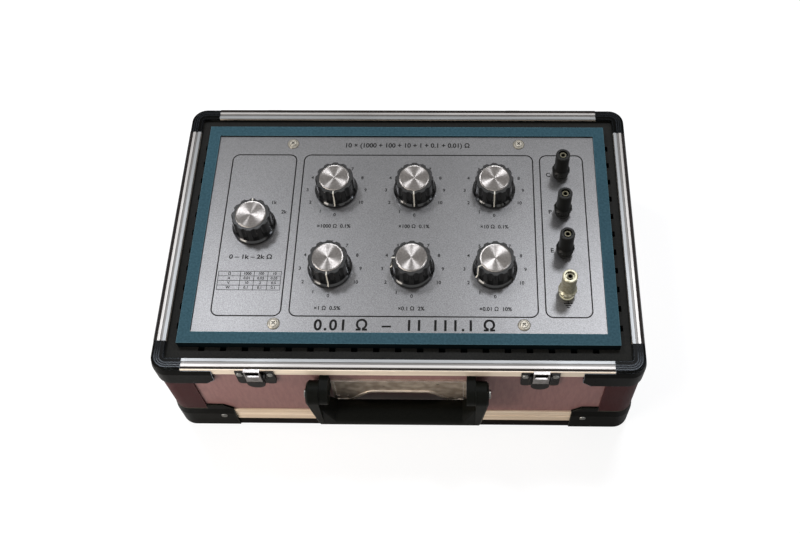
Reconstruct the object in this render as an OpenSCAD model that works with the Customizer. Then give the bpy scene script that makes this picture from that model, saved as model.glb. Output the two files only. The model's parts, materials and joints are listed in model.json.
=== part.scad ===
// Earth resistance meter calibrator: a decade resistance box with rotary switches and
// binding posts, built into the lower half of an aluminium-framed carrying case.
// X runs to the right, Y to the back, Z up. The origin is the centre of the resting face.

/* [Case] */
// Overall width over the corner castings
case_w = 451; // [420:1:520]
// Overall depth over the corner castings
case_d = 294; // [270:1:340]
// Height from the resting face to the top of the rim
case_h = 139; // [120:1:200]
// Plan radius of the upright corners
corner_r = 16; // [15:0.5:20]
// Thickness of the wall boards
board_t = 5; // [3:0.5:6]
// Thickness of the moulded floor
floor_t = 4; // [2:0.5:8]
// Height of the black band round the foot of the case
base_h = 14; // [12:1:30]
// Height of the ribbed metal strip above that band
strip_h = 24; // [16:1:36]
// Wall thickness of the corner castings
casting_t = 1.6; // [1.4:0.1:3]
// Wall thickness of the upright corner profiles, strips and rail flanges
profile_t = 1.6; // [1.2:0.1:2.4]
// Length of each leg of an upright corner profile
profile_leg = 35; // [25:1:50]

/* [Rim] */
// Width of the rail round the rim
rail_w = 11.6; // [11:0.1:15]
// Height of the rail's outer flange
rail_h = 10; // [8:0.5:16]
// Thickness of the rail above the wall boards
rail_cap = 5; // [4:0.5:6]
// Length of the rim casting along the rail, from the corner
rim_leg = 30; // [24:1:34]
// Length of the rim casting's arm on the wall, from the corner
rim_arm = 57.5; // [52:0.5:80]
// Drop of the rim casting's arm below the rim
rim_drop = 29.5; // [24:0.5:50]
// Length of each arm of a foot casting, from the corner
foot_arm = 60.5; // [52:0.5:90]
// Height of a foot casting at the ends of its arms
foot_h = 50; // [44:1:60]

/* [Lining] */
// Width of the black notched ledge between rail and instrument frame, left and right
ledge_w = 10.3; // [6:0.1:14]
// Width of the ledge at the front and at the back
ledge_d = 12.8; // [6:0.1:16]
// Depth of the ledge below the rim
ledge_drop = 5; // [4:0.5:9]
// Thickness of the ledge
ledge_t = 2; // [1.5:0.5:4]
// Spacing of the notches along the ledge
notch_pitch = 20; // [15:1:30]
// Length of a notch
notch_l = 6; // [3:0.5:8]
// Depth of a notch into the ledge
notch_d = 4; // [1:0.5:5]

/* [Instrument] */
// Height of the painted frame's top face above the rim
frame_rise = 4; // [1:0.5:10]
// Visible width of the painted frame
frame_w = 11; // [8:0.5:16]
// Sheet thickness of the painted frame
frame_t = 2; // [1:0.5:3]
// Depth of the painted frame's outer skirt
frame_skirt = 24; // [14:1:40]
// Thickness of the instrument panel
panel_t = 3; // [2:0.5:5]
// Sheet thickness of the chassis
chassis_t = 1.5; // [1:0.1:2.5]
// Width of the chassis flange that carries the panel
chassis_flange = 12; // [10:1:20]
// Distance of the panel screws from the centre line, left and right
screw_x = 115; // [105:1:120]
// Distance of the panel screws from the painted frame's inner edge, front and back
screw_inset = 9.2; // [7:0.1:12]
// Shank radius of the panel screws
screw_r = 2; // [1.5:0.1:2.5]
// Length of a panel screw below the panel
screw_l = 12; // [8:1:16]
// Outer radius of a panel screw's cup washer
cup_r = 6; // [5:0.5:6.5]
// Radius of a panel pillar
pillar_r = 4.5; // [4:0.5:6]

/* [Knobs] */
// Column spacing of the decade knobs
knob_dx = 78; // [66:1:80]
// Row spacing of the decade knobs
knob_dy = 88; // [70:1:92]
// Place of the middle column, from the centre line
knob_x = 11; // [6:1:16]
// Place of the decade group between the rows, from the centre line
knob_y = 1; // [-4:1:6]
// Distance of the range knob from the painted frame's inner edge, on the left
range_inset = 46.7; // [40:0.1:52]
// Place of the range knob, from front to back
range_y = 3; // [-20:1:20]
// Radius of the knob's skirt
skirt_r = 21.1; // [20:0.1:24]
// Radius of the fluted grip
grip_r = 18.6; // [17.5:0.1:19]
// Height of the knob body
knob_h = 21.6; // [18:0.2:28]
// Number of flutes round the grip
flutes = 12; // [8:1:16]
// Radius of a flute
flute_r = 3.4; // [2.5:0.1:4]
// Radius of the spun metal cap
cap_r = 14.8; // [12:0.1:15]
// Thickness of the spun metal cap
cap_t = 1.6; // [1:0.1:2.5]
// Depth of the seat that holds the cap
cap_seat = 0.8; // [0.4:0.1:1]
// Gap between the knob's underside and the panel
knob_gap = 0.8; // [0.4:0.1:2]
// Radius of a switch shaft
shaft_r = 3; // [2.5:0.1:4]
// Radius of the threaded bushing
bushing_r = 5; // [4.6:0.1:6]
// Height of the bushing above the panel
bushing_h = 7; // [5:0.5:9]

/* [Switches] */
// Radius of a switch wafer
wafer_r = 22; // [20:0.5:30]
// Thickness of a switch wafer
wafer_t = 1.6; // [1:0.1:3]
// Spacing of the wafers
wafer_gap = 15; // [12:0.5:20]
// Number of wafers in a switch
wafers = 3; // [2:1:4]
// Depth from the panel to the first wafer
wafer_drop = 12; // [9:0.5:20]
// Positions of a decade switch
stops = 11; // [6:1:11]
// Radius of a wire-wound resistor
resistor_r = 2.6; // [1.5:0.1:3]

/* [Binding posts] */
// Distance of the row of posts from the painted frame's inner edge, on the right
post_inset = 35.2; // [28:0.1:42]
// Spacing of the posts
post_dy = 44; // [36:1:48]
// Place of the middle of the row, from the centre line
post_y = -2; // [-12:0.5:4]
// Overall height of a post above the panel
post_h = 36; // [34:1:44]
// Radius of the post's collar
collar_r = 6.3; // [5.5:0.1:7]
// Height of the post's collar
collar_h = 4; // [3.5:0.5:8]
// Radius of the post's cap
post_cap_r = 6.9; // [6.2:0.1:8]
// Radius of the flare at the foot of the cap
flare_r = 8.8; // [8:0.1:11]
// Radius of the threaded stud
stud_r = 3; // [3:0.1:3.4]
// Radius of the plug socket in the stud
socket_r = 2; // [1.9:0.05:2.2]
// Depth of the plug socket
socket_l = 18; // [12:1:22]
// Thickness of the clamping washer
washer_t = 1; // [0.6:0.1:1.6]

/* [Latches] */
// Distance of each latch from the centre line
latch_x = 129; // [100:1:140]
// Width over the latch's ears
latch_w = 35; // [34:1:44]
// Height of the latch plate
latch_h = 27; // [25:1:30]
// Width of the claw
claw_w = 14.5; // [12:0.5:15]
// Height of the claw above its pivot
claw_h = 22; // [20:0.5:26]
// Length of the lever's tab below the claw's pivot
tab_l = 13; // [11:0.5:18]
// Distance between the lever's pivot and the claw's pivot
throw_r = 6; // [5.5:0.5:7]
// Gap between the claw's rolled foot and the lever's tab
tab_gap = 1.4; // [1.2:0.1:2.5]

/* [Handle] */
// Width over the handle's arms
handle_w = 165; // [150:1:180]
// Drop of the grip's axis below the pivot
grip_drop = 48; // [44:1:60]
// Radius of the grip
handle_r = 11.8; // [10:0.1:12.5]
// Width of an arm
arm_w = 11.5; // [10:0.5:14]
// Radius of an arm's head, round the pivot
arm_head_r = 11.6; // [10:0.1:12]
// Lean of an arm's outer face, from the pivot to the grip
arm_lean = 6; // [0:0.5:7]
// Gap between the hanging grip and the metal plate
handle_gap = 0.7; // [0.5:0.1:3]
// Distance of the pivot below the rim
pivot_drop = 21; // [20:1:30]
// Radius of the pivot pins
pin_r = 2.5; // [2:0.1:3]
// Width of a handle bracket
bracket_w = 8; // [8:0.1:14]
// Height of a handle bracket
bracket_h = 26; // [26:1:32]
// Reach of a handle bracket's upper edge in front of the wall board
bracket_nose = 9; // [7:0.5:11]
// Distance of the metal plate's upper edge below the rail
plate_drop = 12.7; // [6:0.1:16]
// Height of the metal plate at its ends
plate_h = 49; // [36:1:54]
// Rise of the arch in the plate's lower edge
arch_rise = 20.5; // [14:0.5:26]
// Half width of the arch's flat top
arch_flat = 24.4; // [16:0.2:30]
// Width of the plate's foot on either side of the arch
plate_foot = 11.4; // [8:0.2:16]
// Thickness of the metal plate
plate_t = 1.2; // [0.8:0.1:2]
// Height of the raised border on the metal plate
border_t = 0.8; // [0.4:0.1:1]

/* [Hinges] */
// Distance of each hinge from the centre line
hinge_x = 126; // [100:1:140]
// Width of a hinge leaf
leaf_w = 44; // [36:1:60]
// Height of a hinge leaf
leaf_h = 30; // [24:1:40]
// Radius of the lift-off hinge pin
hinge_pin_r = 2; // [1.5:0.1:2.4]
// Free length of the lift-off hinge pin
hinge_pin_l = 14; // [10:1:20]

/* [Fits] */
// Running clearance of a pin or shaft, on the radius
run = 0.05; // [0.02:0.01:0.1]
// Clearance of a screw in its hole, on the radius
free = 0.1; // [0.05:0.05:0.3]
// Gap between pieces that sit beside each other
gap = 0.3; // [0.2:0.05:0.5]

/* [Hidden] */
$fn = 64;

DECADES = [1:6];
POSTS = [1:4];
SIDES = [1:2];

// Insets from the outer face of the castings, layer by layer
skin_in = casting_t;
board_in = skin_in + profile_t;
lining_in = board_in + board_t;
rail_leg_t = 2;
liner_in = lining_in + rail_leg_t;
rail_in = skin_in + rail_w;
ledge_x = case_w / 2 - rail_in - ledge_w;
ledge_y = case_d / 2 - rail_in - ledge_d;
frame_x = ledge_x - gap;
frame_y = ledge_y - gap;
window_x = frame_x - frame_w;
window_y = frame_y - frame_w;

// Heights
rail_leg_h = rail_h + 2;
board_z = case_h - rail_cap;
flange_z = case_h - rail_h;
frame_z = case_h + frame_rise;
panel_z = frame_z - frame_t;
panel_under = panel_z - panel_t;
front_y = -case_d / 2 + board_in;
strip_top = base_h + strip_h;
foot_top = max(foot_h, strip_top + 8);

// Instrument
screw_y = window_y - screw_inset;
chassis_w = 2 * (frame_x - frame_t - gap);
chassis_d = 2 * (frame_y - frame_t - gap);
cavity_h = 6;
bushing_bore = shaft_r + run;
wafer_hole = shaft_r + 4.3;
rotor_r = wafer_hole - gap;
tie_r = 2;
tie_x = wafer_r - 4;
ring_r = (wafer_hole + tie_x) / 2 + 1;
switch_foot = panel_under - wafer_drop - (wafers - 1) * wafer_gap - wafer_t;
knob_z = panel_z + knob_gap;
decade_at = [for (i = DECADES) [
    knob_x + ((i - 1) % 3 - 1) * knob_dx,
    knob_y + (i <= 3 ? 0.5 : -0.5) * knob_dy]];
range_at = [range_inset - window_x, range_y];
switch_at = concat([range_at], decade_at);
nut_t = 2.6;

// Binding posts
post_at = [for (i = POSTS) [window_x - post_inset, post_y + (2.5 - i) * post_dy]];
spigot_r = stud_r + 2;
clamp_z = panel_z + collar_h;
cap_z = clamp_z + washer_t;
post_top = panel_z + post_h;
stud_tail = 20;
insulator_t = 2;

// Latches: pivots of the lever and of the claw, measured from the wall board
sheet_t = 0.8;
ear_t = 1.2;
latch_plate_t = profile_t + ear_t;
lever_pin_r = 0.9;
barrel_r = 1.6;
lever_out = profile_t + sheet_t + gap + barrel_r;
claw_out = lever_out + 1.4;
lever_z = case_h - 7;
claw_z = lever_z - throw_r;
cheek_x = claw_w / 2 + gap;
lug_x = cheek_x + sheet_t + gap;
lug_t = 1.2;

// Handle
arm_x = handle_w / 2 - arm_w;
pivot_z = case_h - pivot_drop;
pivot_y = front_y - plate_t - border_t - handle_gap - handle_r;
bracket_top = flange_z - gap;
bracket_x = arm_x - gap;
bracket_in = bracket_x - bracket_w;
bracket_r = arm_head_r - 1;

// Hinges
knuckle_r = 4;
knuckle_l = 14;
back_y = case_d / 2 - board_in;
hinge_y = case_d / 2 - skin_in + knuckle_r + gap;
hinge_z = flange_z - 2.5;
leaf_top = hinge_z - knuckle_r - 1.5;
leaf_t = profile_t + 1.2;

// Screws that hold castings, latches and hinges to the wall boards
rivet_r = 1.5;
rivet_head = 3.2;
rivet_head_t = 1.3;
rivet_reach = board_t - 1;

// Plain rounded rectangle with true arcs, inset from the outer faces of the case.
// Ease rounds the corners a little more than the layer outside them.
module plan(inset, ease = 0) {
    r = max(corner_r - inset + ease, 0.4);
    w = case_w - 2 * inset;
    d = case_d - 2 * inset;
    square([w - 2 * r, d], center = true);
    square([w, d - 2 * r], center = true);
    for (sx = [-1, 1], sy = [-1, 1])
        translate([sx * (w / 2 - r), sy * (d / 2 - r)]) circle(r);
}

module band(outer, inner, z, h) {
    translate([0, 0, z]) linear_extrude(h) difference() {
        plan(outer);
        plan(inner);
    }
}

// Copies of a front-left piece in all four corners
module four_corners() {
    for (mx = [0, 1], my = [0, 1])
        mirror([mx, 0, 0]) mirror([0, my, 0]) children();
}

// Bars of one section, given as [inset, height] points, along all four walls
module wall_bar(span, inset_y, section) {
    translate([-span / 2, -inset_y, 0]) rotate([90, 0, 90]) linear_extrude(span) polygon(section);
}

module four_bars(cut, section) {
    for (m = [0, 1]) {
        mirror([0, m, 0]) wall_bar(case_w - 2 * cut, case_d / 2, section);
        mirror([m, 0, 0]) rotate([0, 0, -90]) wall_bar(case_d - 2 * cut, case_w / 2, section);
    }
}

// Straight bars on both walls of the front-left corner, between two distances from it
module corner_bars(near, far, section) {
    middle = (near + far) / 2;
    translate([-case_w / 2 + middle, 0, 0]) wall_bar(far - near, case_d / 2, section);
    translate([0, -case_d / 2 + middle, 0]) rotate([0, 0, -90]) wall_bar(far - near, case_w / 2, section);
}

// One section carried round the front-left corner, with a straight leg each way
module corner_sweep(leg, section) {
    translate([-case_w / 2 + corner_r, -case_d / 2 + corner_r, 0])
        rotate([0, 0, 180]) rotate_extrude(angle = 90) polygon([for (p = section) [corner_r - p[0], p[1]]]);
    corner_bars(corner_r, leg, section);
}

// Places of the small screws, each with its axis along the local -Y, head outwards.
// Every entry is [x, y, z, turn about Z].
foot_screw_in = 12;
foot_screw_z = base_h + 12;
foot_screw_l = foot_arm - foot_screw_in;
ear_x = (latch_w / 2 + lug_x + lug_t) / 2;
ear_z = flange_z + 2.4;
foot_screws = concat(
    [for (sx = [-1, 1]) [sx * (case_w / 2 - foot_screw_l), -case_d / 2, foot_screw_z, 0]],
    [for (sx = [-1, 1]) [sx * (case_w / 2 - foot_screw_l), case_d / 2, foot_screw_z, 180]],
    [for (sy = [-1, 1]) [-case_w / 2, sy * (case_d / 2 - foot_screw_l), foot_screw_z, -90]],
    [for (sy = [-1, 1]) [case_w / 2, sy * (case_d / 2 - foot_screw_l), foot_screw_z, 90]]);
latch_screws = [for (sx = [-1, 1], se = [-1, 1])
    [sx * latch_x + se * ear_x, front_y - latch_plate_t, ear_z, 0]];
hinge_screws = [for (sx = [-1, 1], se = [-1, 1])
    [sx * hinge_x + se * (leaf_w / 2 - 7), back_y + leaf_t, leaf_top - leaf_h / 2, 180]];

// The handle's brackets are held from inside the case
bracket_bite = board_t + 1;
handle_screws = [for (sx = [-1, 1], dz = [-1, 1])
    [sx * (bracket_in + bracket_x) / 2, front_y + board_t, pivot_z - 3 + dz * 7, 180]];

// Shanks from the head's seat to a fixed depth in the wall board
module shanks(list, outer, radius) {
    for (s = list)
        translate([s[0], s[1], s[2]]) rotate([0, 0, s[3]]) rotate([-90, 0, 0])
            translate([0, 0, -0.5]) cylinder(h = outer + rivet_reach + 0.5, r = radius, $fn = 24);
}

module shank_holes() {
    shanks(foot_screws, board_in, rivet_r + free);
    shanks(latch_screws, latch_plate_t, rivet_r + free);
    shanks(hinge_screws, leaf_t, rivet_r + free);
    shanks(handle_screws, bracket_bite, rivet_r + free);
}

// Moulded black tray that forms the floor and the band at the foot
module base_tray() {
    color("#1c1c1a") difference() {
        union() {
            linear_extrude(floor_t) plan(skin_in);
            band(skin_in, board_in, 0, base_h);
        }
        shank_holes();
    }
}

module board_block(x, y, w, d) {
    translate([x - w / 2, y - d / 2, floor_t]) cube([w, d, board_z - floor_t]);
}

module wall_board(x, y, w, d) {
    color("#87706f") difference() {
        intersection() {
            board_block(x, y, w, d);
            translate([0, 0, floor_t]) linear_extrude(board_z - floor_t) plan(board_in, gap);
        }
        shank_holes();
    }
}

board_x = case_w / 2 - board_in - board_t / 2;
board_y = case_d / 2 - board_in - board_t / 2;

module front_panel() { wall_board(0, -board_y, case_w, board_t); }
module back_panel() { wall_board(0, board_y, case_w, board_t); }
module end_panels() {
    for (sx = [-1, 1]) wall_board(sx * board_x, 0, board_t, case_d - 2 * lining_in);
}

// Upright corner profiles between the foot band and the rim
module corner_profiles() {
    color("#5a3338") difference() {
        intersection() {
            band(skin_in, board_in, base_h, flange_z - base_h);
            four_corners() translate([-case_w / 2 - 1, -case_d / 2 - 1, 0])
                cube([profile_leg + 1, profile_leg + 1, case_h]);
        }
        shank_holes();
    }
}

// Extruded rail: a thin outer wall with a deep groove behind it, two lands with a shallow
// groove between them, an outer flange and the channel that grips the board
seal_out = skin_in + 0.9;
seal_in = skin_in + 3.2;
seal_drop = 3.4;
seal_z = case_h - seal_drop;
rail_section = [
    [skin_in, flange_z],
    [skin_in, case_h - 0.4], [skin_in + 0.3, case_h], [seal_out, case_h],
    [seal_out, seal_z], [seal_in, seal_z], [seal_in, case_h - 0.3], [seal_in + 0.3, case_h],
    [skin_in + 5.9, case_h], [skin_in + 6.2, case_h - 0.6],
    [skin_in + 8, case_h - 0.6], [skin_in + 8.3, case_h],
    [rail_in - 0.5, case_h], [rail_in, case_h - 0.5], [rail_in, case_h - 2.4],
    [liner_in, case_h - 2.4], [liner_in, case_h - rail_leg_h],
    [lining_in, case_h - rail_leg_h], [lining_in, board_z],
    [board_in, board_z], [board_in, flange_z]];

module rim_rails() {
    color("#c9c9c9") difference() {
        four_bars(rim_leg, rail_section);
        shank_holes();
    }
}

// Rubber strips pressed into the rails' deep groove
seal_section = [
    [seal_out, seal_z], [seal_in, seal_z], [seal_in, case_h - 1.2], [seal_in - 0.5, case_h - 0.9],
    [seal_out + 0.5, case_h - 0.9], [seal_out, case_h - 1.2]];

module rim_seals() {
    color("#151514") four_bars(rim_leg, seal_section);
}

// Rim casting: the rail's section grown outwards, with a sloping facet and fine ribs on top
rim_facet = [
    [0, case_h - 9.1], [casting_t * 0.75, case_h - 2.4]];
rim_section = concat(
    [[skin_in, flange_z], [0, flange_z]],
    rim_facet,
    [[casting_t, case_h - 1.2], [casting_t + 1, case_h - 0.3],
    [casting_t + 2, case_h], [4.4, case_h], [4.7, case_h - 0.5], [5, case_h],
    [6.4, case_h], [6.7, case_h - 0.5], [7, case_h],
    [8.4, case_h], [8.7, case_h - 0.5], [9, case_h],
    [rail_in - 0.8, case_h], [rail_in, case_h - 0.8], [rail_in, case_h - 2.4],
    [liner_in, case_h - 2.4], [liner_in, case_h - rail_leg_h],
    [lining_in, case_h - rail_leg_h], [lining_in, board_z],
    [board_in, board_z], [board_in, flange_z]]);

rim_foot = [[skin_in, case_h - rim_drop], [0.6, case_h - rim_drop], [0, case_h - rim_drop + 0.9]];
rim_skirt = concat(rim_foot, [[0, flange_z], [skin_in, flange_z]]);

// The part of the arm that reaches along the rail beyond the casting's body, and the pad
// behind it that rests on the wall board beyond the corner profile
rim_tongue = concat(rim_foot, rim_facet, [[skin_in, case_h - 2]]);
rim_pad = [
    [skin_in - 0.2, case_h - rim_drop], [board_in, case_h - rim_drop],
    [board_in, flange_z], [skin_in - 0.2, flange_z]];

// Sloping cut that takes the lower or upper corner off the end of an arm
module arm_chamfer(reach, z, size) {
    translate([-case_w / 2 + reach, -case_d / 2, z]) rotate([0, 45, 0])
        cube([size * 1.42, 8, size * 1.42], center = true);
    translate([-case_w / 2, -case_d / 2 + reach, z]) rotate([45, 0, 0])
        cube([8, size * 1.42, size * 1.42], center = true);
}

module rim_corner() {
    difference() {
        union() {
            corner_sweep(rim_leg, rim_section);
            corner_sweep(rim_leg, rim_skirt);
            corner_bars(rim_leg, rim_arm, rim_tongue);
            corner_bars(profile_leg, rim_arm, rim_pad);
        }
        arm_chamfer(rim_arm, case_h - rim_drop, 9);
    }
}

module rim_corners() {
    color("#1a1a18") four_corners() rim_corner();
}

// Metal strips along the foot of the walls, each with a groove between its two bands
groove_in = skin_in + 0.8;
groove_z = base_h + strip_h * 0.525;
strip_section = [
    [board_in, base_h], [skin_in + 0.4, base_h], [skin_in, base_h + 0.7],
    [skin_in, groove_z - 1], [groove_in, groove_z - 0.6],
    [groove_in, groove_z + 0.6], [skin_in, groove_z + 1],
    [skin_in, strip_top - 0.7], [skin_in + 0.4, strip_top], [board_in, strip_top]];

module base_strips() {
    color("#e0d2bd") difference() {
        four_bars(profile_leg, strip_section);
        shank_holes();
    }
}

// Foot casting: low under the corner profile, higher beyond it, with a sloping facet all along
foot_low = foot_top - 8;
foot_face = [
    [skin_in, 0], [1, 0], [0, 1.4],
    [0, foot_low - 11.5], [casting_t * 0.7, foot_low - 1]];
foot_section = concat(foot_face, [[skin_in, foot_low]]);
foot_pad = concat(
    foot_face,
    [[casting_t * 0.7, foot_top - 0.8], [skin_in, foot_top], [board_in, foot_top],
    [board_in, strip_top], [skin_in, strip_top]]);

module base_corners() {
    color("#1a1a18") difference() {
        four_corners() difference() {
            union() {
                corner_sweep(profile_leg, foot_section);
                corner_bars(profile_leg, foot_arm, foot_pad);
            }
            arm_chamfer(foot_arm, foot_top, 9);
        }
        shank_holes();
    }
}

// Small screws with domed heads, sunk through castings, latch plates and hinge leaves
module small_screw(outer) {
    rotate([90, 0, 0]) rotate_extrude($fn = 24)
        polygon([[0, -outer - rivet_reach], [rivet_r, -outer - rivet_reach], [rivet_r, 0],
            [rivet_head, 0], [rivet_head - 0.3, rivet_head_t * 0.6],
            [rivet_head * 0.5, rivet_head_t], [0, rivet_head_t]]);
}

module place_screws(list, outer) {
    for (s = list)
        translate([s[0], s[1], s[2]]) rotate([0, 0, s[3]]) small_screw(outer);
}

module case_screws() {
    color("#c4c4c0") {
        place_screws(foot_screws, board_in);
        place_screws(latch_screws, latch_plate_t);
        place_screws(hinge_screws, leaf_t);
        place_screws(handle_screws, bracket_bite);
    }
}

// Black ledge between rail and instrument frame, notched along its inner edge
notches_x = floor((2 * ledge_x - notch_l) / notch_pitch / 2);
notches_y = floor((2 * ledge_y - notch_l) / notch_pitch / 2);

module notch_row(count, edge) {
    for (i = [-count:count], m = [0, 1])
        mirror([0, m, 0]) translate([i * notch_pitch - notch_l / 2, edge - 1, 0])
            cube([notch_l, notch_d + 1, case_h]);
}

module inner_frame() {
    color("#20201e") difference() {
        union() {
            band(liner_in, liner_in + ledge_t, case_h - rail_leg_h - 6, rail_leg_h + 6 - 2.4);
            translate([0, 0, case_h - ledge_drop - ledge_t]) linear_extrude(ledge_t) difference() {
                plan(liner_in);
                square([2 * ledge_x, 2 * ledge_y], center = true);
            }
        }
        notch_row(notches_x, ledge_y);
        rotate([0, 0, 90]) notch_row(notches_y, ledge_x);
    }
}

// Painted sheet frame that clamps the panel's edge down on the chassis
module panel_frame() {
    color("#3f6273") {
        w = 2 * frame_x;
        d = 2 * frame_y;
        difference() {
            translate([-w / 2, -d / 2, frame_z - frame_skirt]) cube([w, d, frame_skirt]);
            translate([-w / 2 + frame_t, -d / 2 + frame_t, frame_z - frame_skirt - 1])
                cube([w - 2 * frame_t, d - 2 * frame_t, frame_skirt + 1 - frame_t]);
            translate([-w / 2 + frame_w, -d / 2 + frame_w, 0])
                cube([w - 2 * frame_w, d - 2 * frame_w, frame_z + 1]);
        }
    }
}

// Sheet chassis that hangs the panel over the floor, with a pillar under each panel screw
module chassis() {
    color("#9a9a94") difference() {
        union() {
            difference() {
                translate([-chassis_w / 2, -chassis_d / 2, floor_t])
                    cube([chassis_w, chassis_d, panel_under - floor_t]);
                translate([-chassis_w / 2 + chassis_t, -chassis_d / 2 + chassis_t, floor_t + chassis_t])
                    cube([chassis_w - 2 * chassis_t, chassis_d - 2 * chassis_t,
                        panel_under - floor_t - 2 * chassis_t]);
                translate([-chassis_w / 2 + chassis_flange, -chassis_d / 2 + chassis_flange,
                    floor_t + 2 * chassis_t])
                    cube([chassis_w - 2 * chassis_flange, chassis_d - 2 * chassis_flange, case_h]);
            }
            for (sx = [-1, 1], sy = [-1, 1])
                translate([sx * screw_x, sy * screw_y, floor_t + chassis_t])
                    cylinder(h = panel_under - floor_t - chassis_t, r = pillar_r, $fn = 6);
        }
        for (sx = [-1, 1], sy = [-1, 1])
            translate([sx * screw_x, sy * screw_y, panel_under - 16])
                cylinder(h = 17, r = screw_r + run, $fn = 32);
    }
}

module instrument_panel() {
    color("#aeadb1") difference() {
        translate([-chassis_w / 2, -chassis_d / 2, panel_under]) cube([chassis_w, chassis_d, panel_t]);
        for (p = switch_at)
            translate([p[0], p[1], panel_under - 1]) cylinder(h = panel_t + 2, r = bushing_r + free);
        for (p = post_at)
            translate([p[0], p[1], panel_under - 1]) cylinder(h = panel_t + 2, r = spigot_r + free);
        for (sx = [-1, 1], sy = [-1, 1])
            translate([sx * screw_x, sy * screw_y, panel_under - 1])
                cylinder(h = panel_t + 2, r = screw_r + free, $fn = 32);
    }
}

// Countersunk screws in cup washers
cup_h = 1.6;
recess_l = 4;
recess_w = 1;
module panel_screws() {
    color("#c8c8c4") for (sx = [-1, 1], sy = [-1, 1]) translate([sx * screw_x, sy * screw_y, panel_z]) {
        rotate_extrude($fn = 48)
            polygon([[screw_r + gap, 0], [cup_r, 0], [cup_r - 0.3, 0.7], [cup_r - 1.5, cup_h],
                [cup_r - 2, cup_h], [screw_r + gap, 0.5]]);
        difference() {
            rotate_extrude($fn = 48)
                polygon([[0, -panel_t - screw_l], [screw_r, -panel_t - screw_l], [screw_r, 0.5 + gap * 0.6],
                    [cup_r - 2.3, cup_h], [cup_r - 2.8, cup_h + 0.5], [0, cup_h + 0.5]]);
            for (a = [45, 135]) rotate(a)
                translate([-recess_l / 2, -recess_w / 2, cup_h - 0.3]) cube([recess_l, recess_w, 3]);
        }
    }
}

// Hexagon nuts on the switch bushings and under the binding posts
module panel_nuts() {
    color("#b9b6aa") {
        for (p = switch_at) translate([p[0], p[1], panel_z]) difference() {
            cylinder(h = nut_t, r = bushing_r + 3.4, $fn = 6);
            translate([0, 0, -1]) cylinder(h = nut_t + 2, r = bushing_r + run);
        }
        for (p = post_at) translate([p[0], p[1], panel_under - insulator_t - nut_t - 1]) difference() {
            cylinder(h = nut_t + 1, r = stud_r + 3, $fn = 6);
            translate([0, 0, -1]) cylinder(h = nut_t + 3, r = stud_r + run);
        }
    }
}

// Rotary wafer switch: bushing and plate, wafers with solder lugs, two spacer posts
module wafer(z) {
    translate([0, 0, z]) linear_extrude(wafer_t) difference() {
        union() {
            circle(wafer_r);
            for (a = [0:stops - 1])
                rotate(a * 30 + 15) translate([wafer_r - 1, -1]) square([4, 2]);
        }
        circle(wafer_hole);
    }
}

module rotary_switch() {
    translate([0, 0, panel_under - 2]) difference() {
        union() {
            translate([-wafer_r + 2, -wafer_r / 2, 0]) cube([2 * wafer_r - 4, wafer_r, 2]);
            cylinder(h = 2 + panel_t + bushing_h, r = bushing_r);
        }
        translate([0, 0, -1]) cylinder(h = 4 + panel_t + bushing_h, r = bushing_bore);
    }
    for (i = [0:wafers - 1]) wafer(panel_under - wafer_drop - i * wafer_gap - wafer_t);
    for (s = [-1, 1]) translate([s * tie_x, 0, switch_foot - 2])
        cylinder(h = panel_under - switch_foot, r = tie_r, $fn = 24);
}

module switches() {
    color("#8a7350") for (p = switch_at) translate([p[0], p[1], 0]) rotary_switch();
}

// Wire-wound resistors standing between the wafers of each decade switch
module decade_resistors() {
    color("#7a3b22") for (p = decade_at) translate([p[0], p[1], 0])
        for (i = [0:wafers - 2], a = [30:60:330]) rotate(a) translate([ring_r, 0, 0])
            translate([0, 0, panel_under - wafer_drop - (i + 1) * wafer_gap])
                cylinder(h = wafer_gap - wafer_t, r = resistor_r, $fn = 24);
}

// Fluted knob: a coved skirt below, a scalloped grip above, a seat for the metal cap on top
knob_bore_h = 16;
knob_profile = [
    [shaft_r, cavity_h + 1.5], [skirt_r - 5.2, cavity_h + 1.5], [skirt_r - 3.6, 0],
    [skirt_r - 0.4, 0], [skirt_r, 0.4], [skirt_r, 2.2], [skirt_r - 0.5, 3],
    [grip_r + 1.1, 4.2], [grip_r + 0.5, 5.6], [grip_r + 0.2, 7.6], [grip_r, knob_h - 1],
    [grip_r - 0.3, knob_h - 0.3], [grip_r - 1, knob_h],
    [cap_r + 0.15, knob_h], [cap_r + 0.15, knob_h - cap_seat], [0, knob_h - cap_seat],
    [0, knob_bore_h], [shaft_r, knob_bore_h]];

module knob_body(at) {
    color("#141414") translate([at[0], at[1], knob_z]) difference() {
        rotate_extrude($fn = 96) polygon(knob_profile);
        for (i = [0:flutes - 1]) rotate((i + 0.5) * 360 / flutes)
            translate([grip_r + flute_r - 1, 0, 4.6]) rotate([0, -3, 0])
                cylinder(h = knob_h + 4, r = flute_r, $fn = 32);
    }
}

module knob_cap(at) {
    color("#d6d6d6") translate([at[0], at[1], knob_z + knob_h - cap_seat])
        rotate_extrude($fn = 96)
            polygon([[0, 0], [cap_r, 0], [cap_r, cap_t - 0.5], [cap_r - 0.5, cap_t],
                [cap_r - 1.4, cap_t - 0.1], [1, cap_t - 0.35], [0, cap_t - 0.35]]);
}

module switch_shaft(at) {
    color("#b8b8b4") translate([at[0], at[1], 0]) {
        translate([0, 0, switch_foot - 3])
            cylinder(h = knob_z + knob_bore_h - switch_foot + 3, r = shaft_r);
        for (i = [0:wafers - 1])
            translate([0, 0, panel_under - wafer_drop - i * wafer_gap - wafer_t])
                cylinder(h = wafer_t, r = rotor_r);
    }
}

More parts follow.
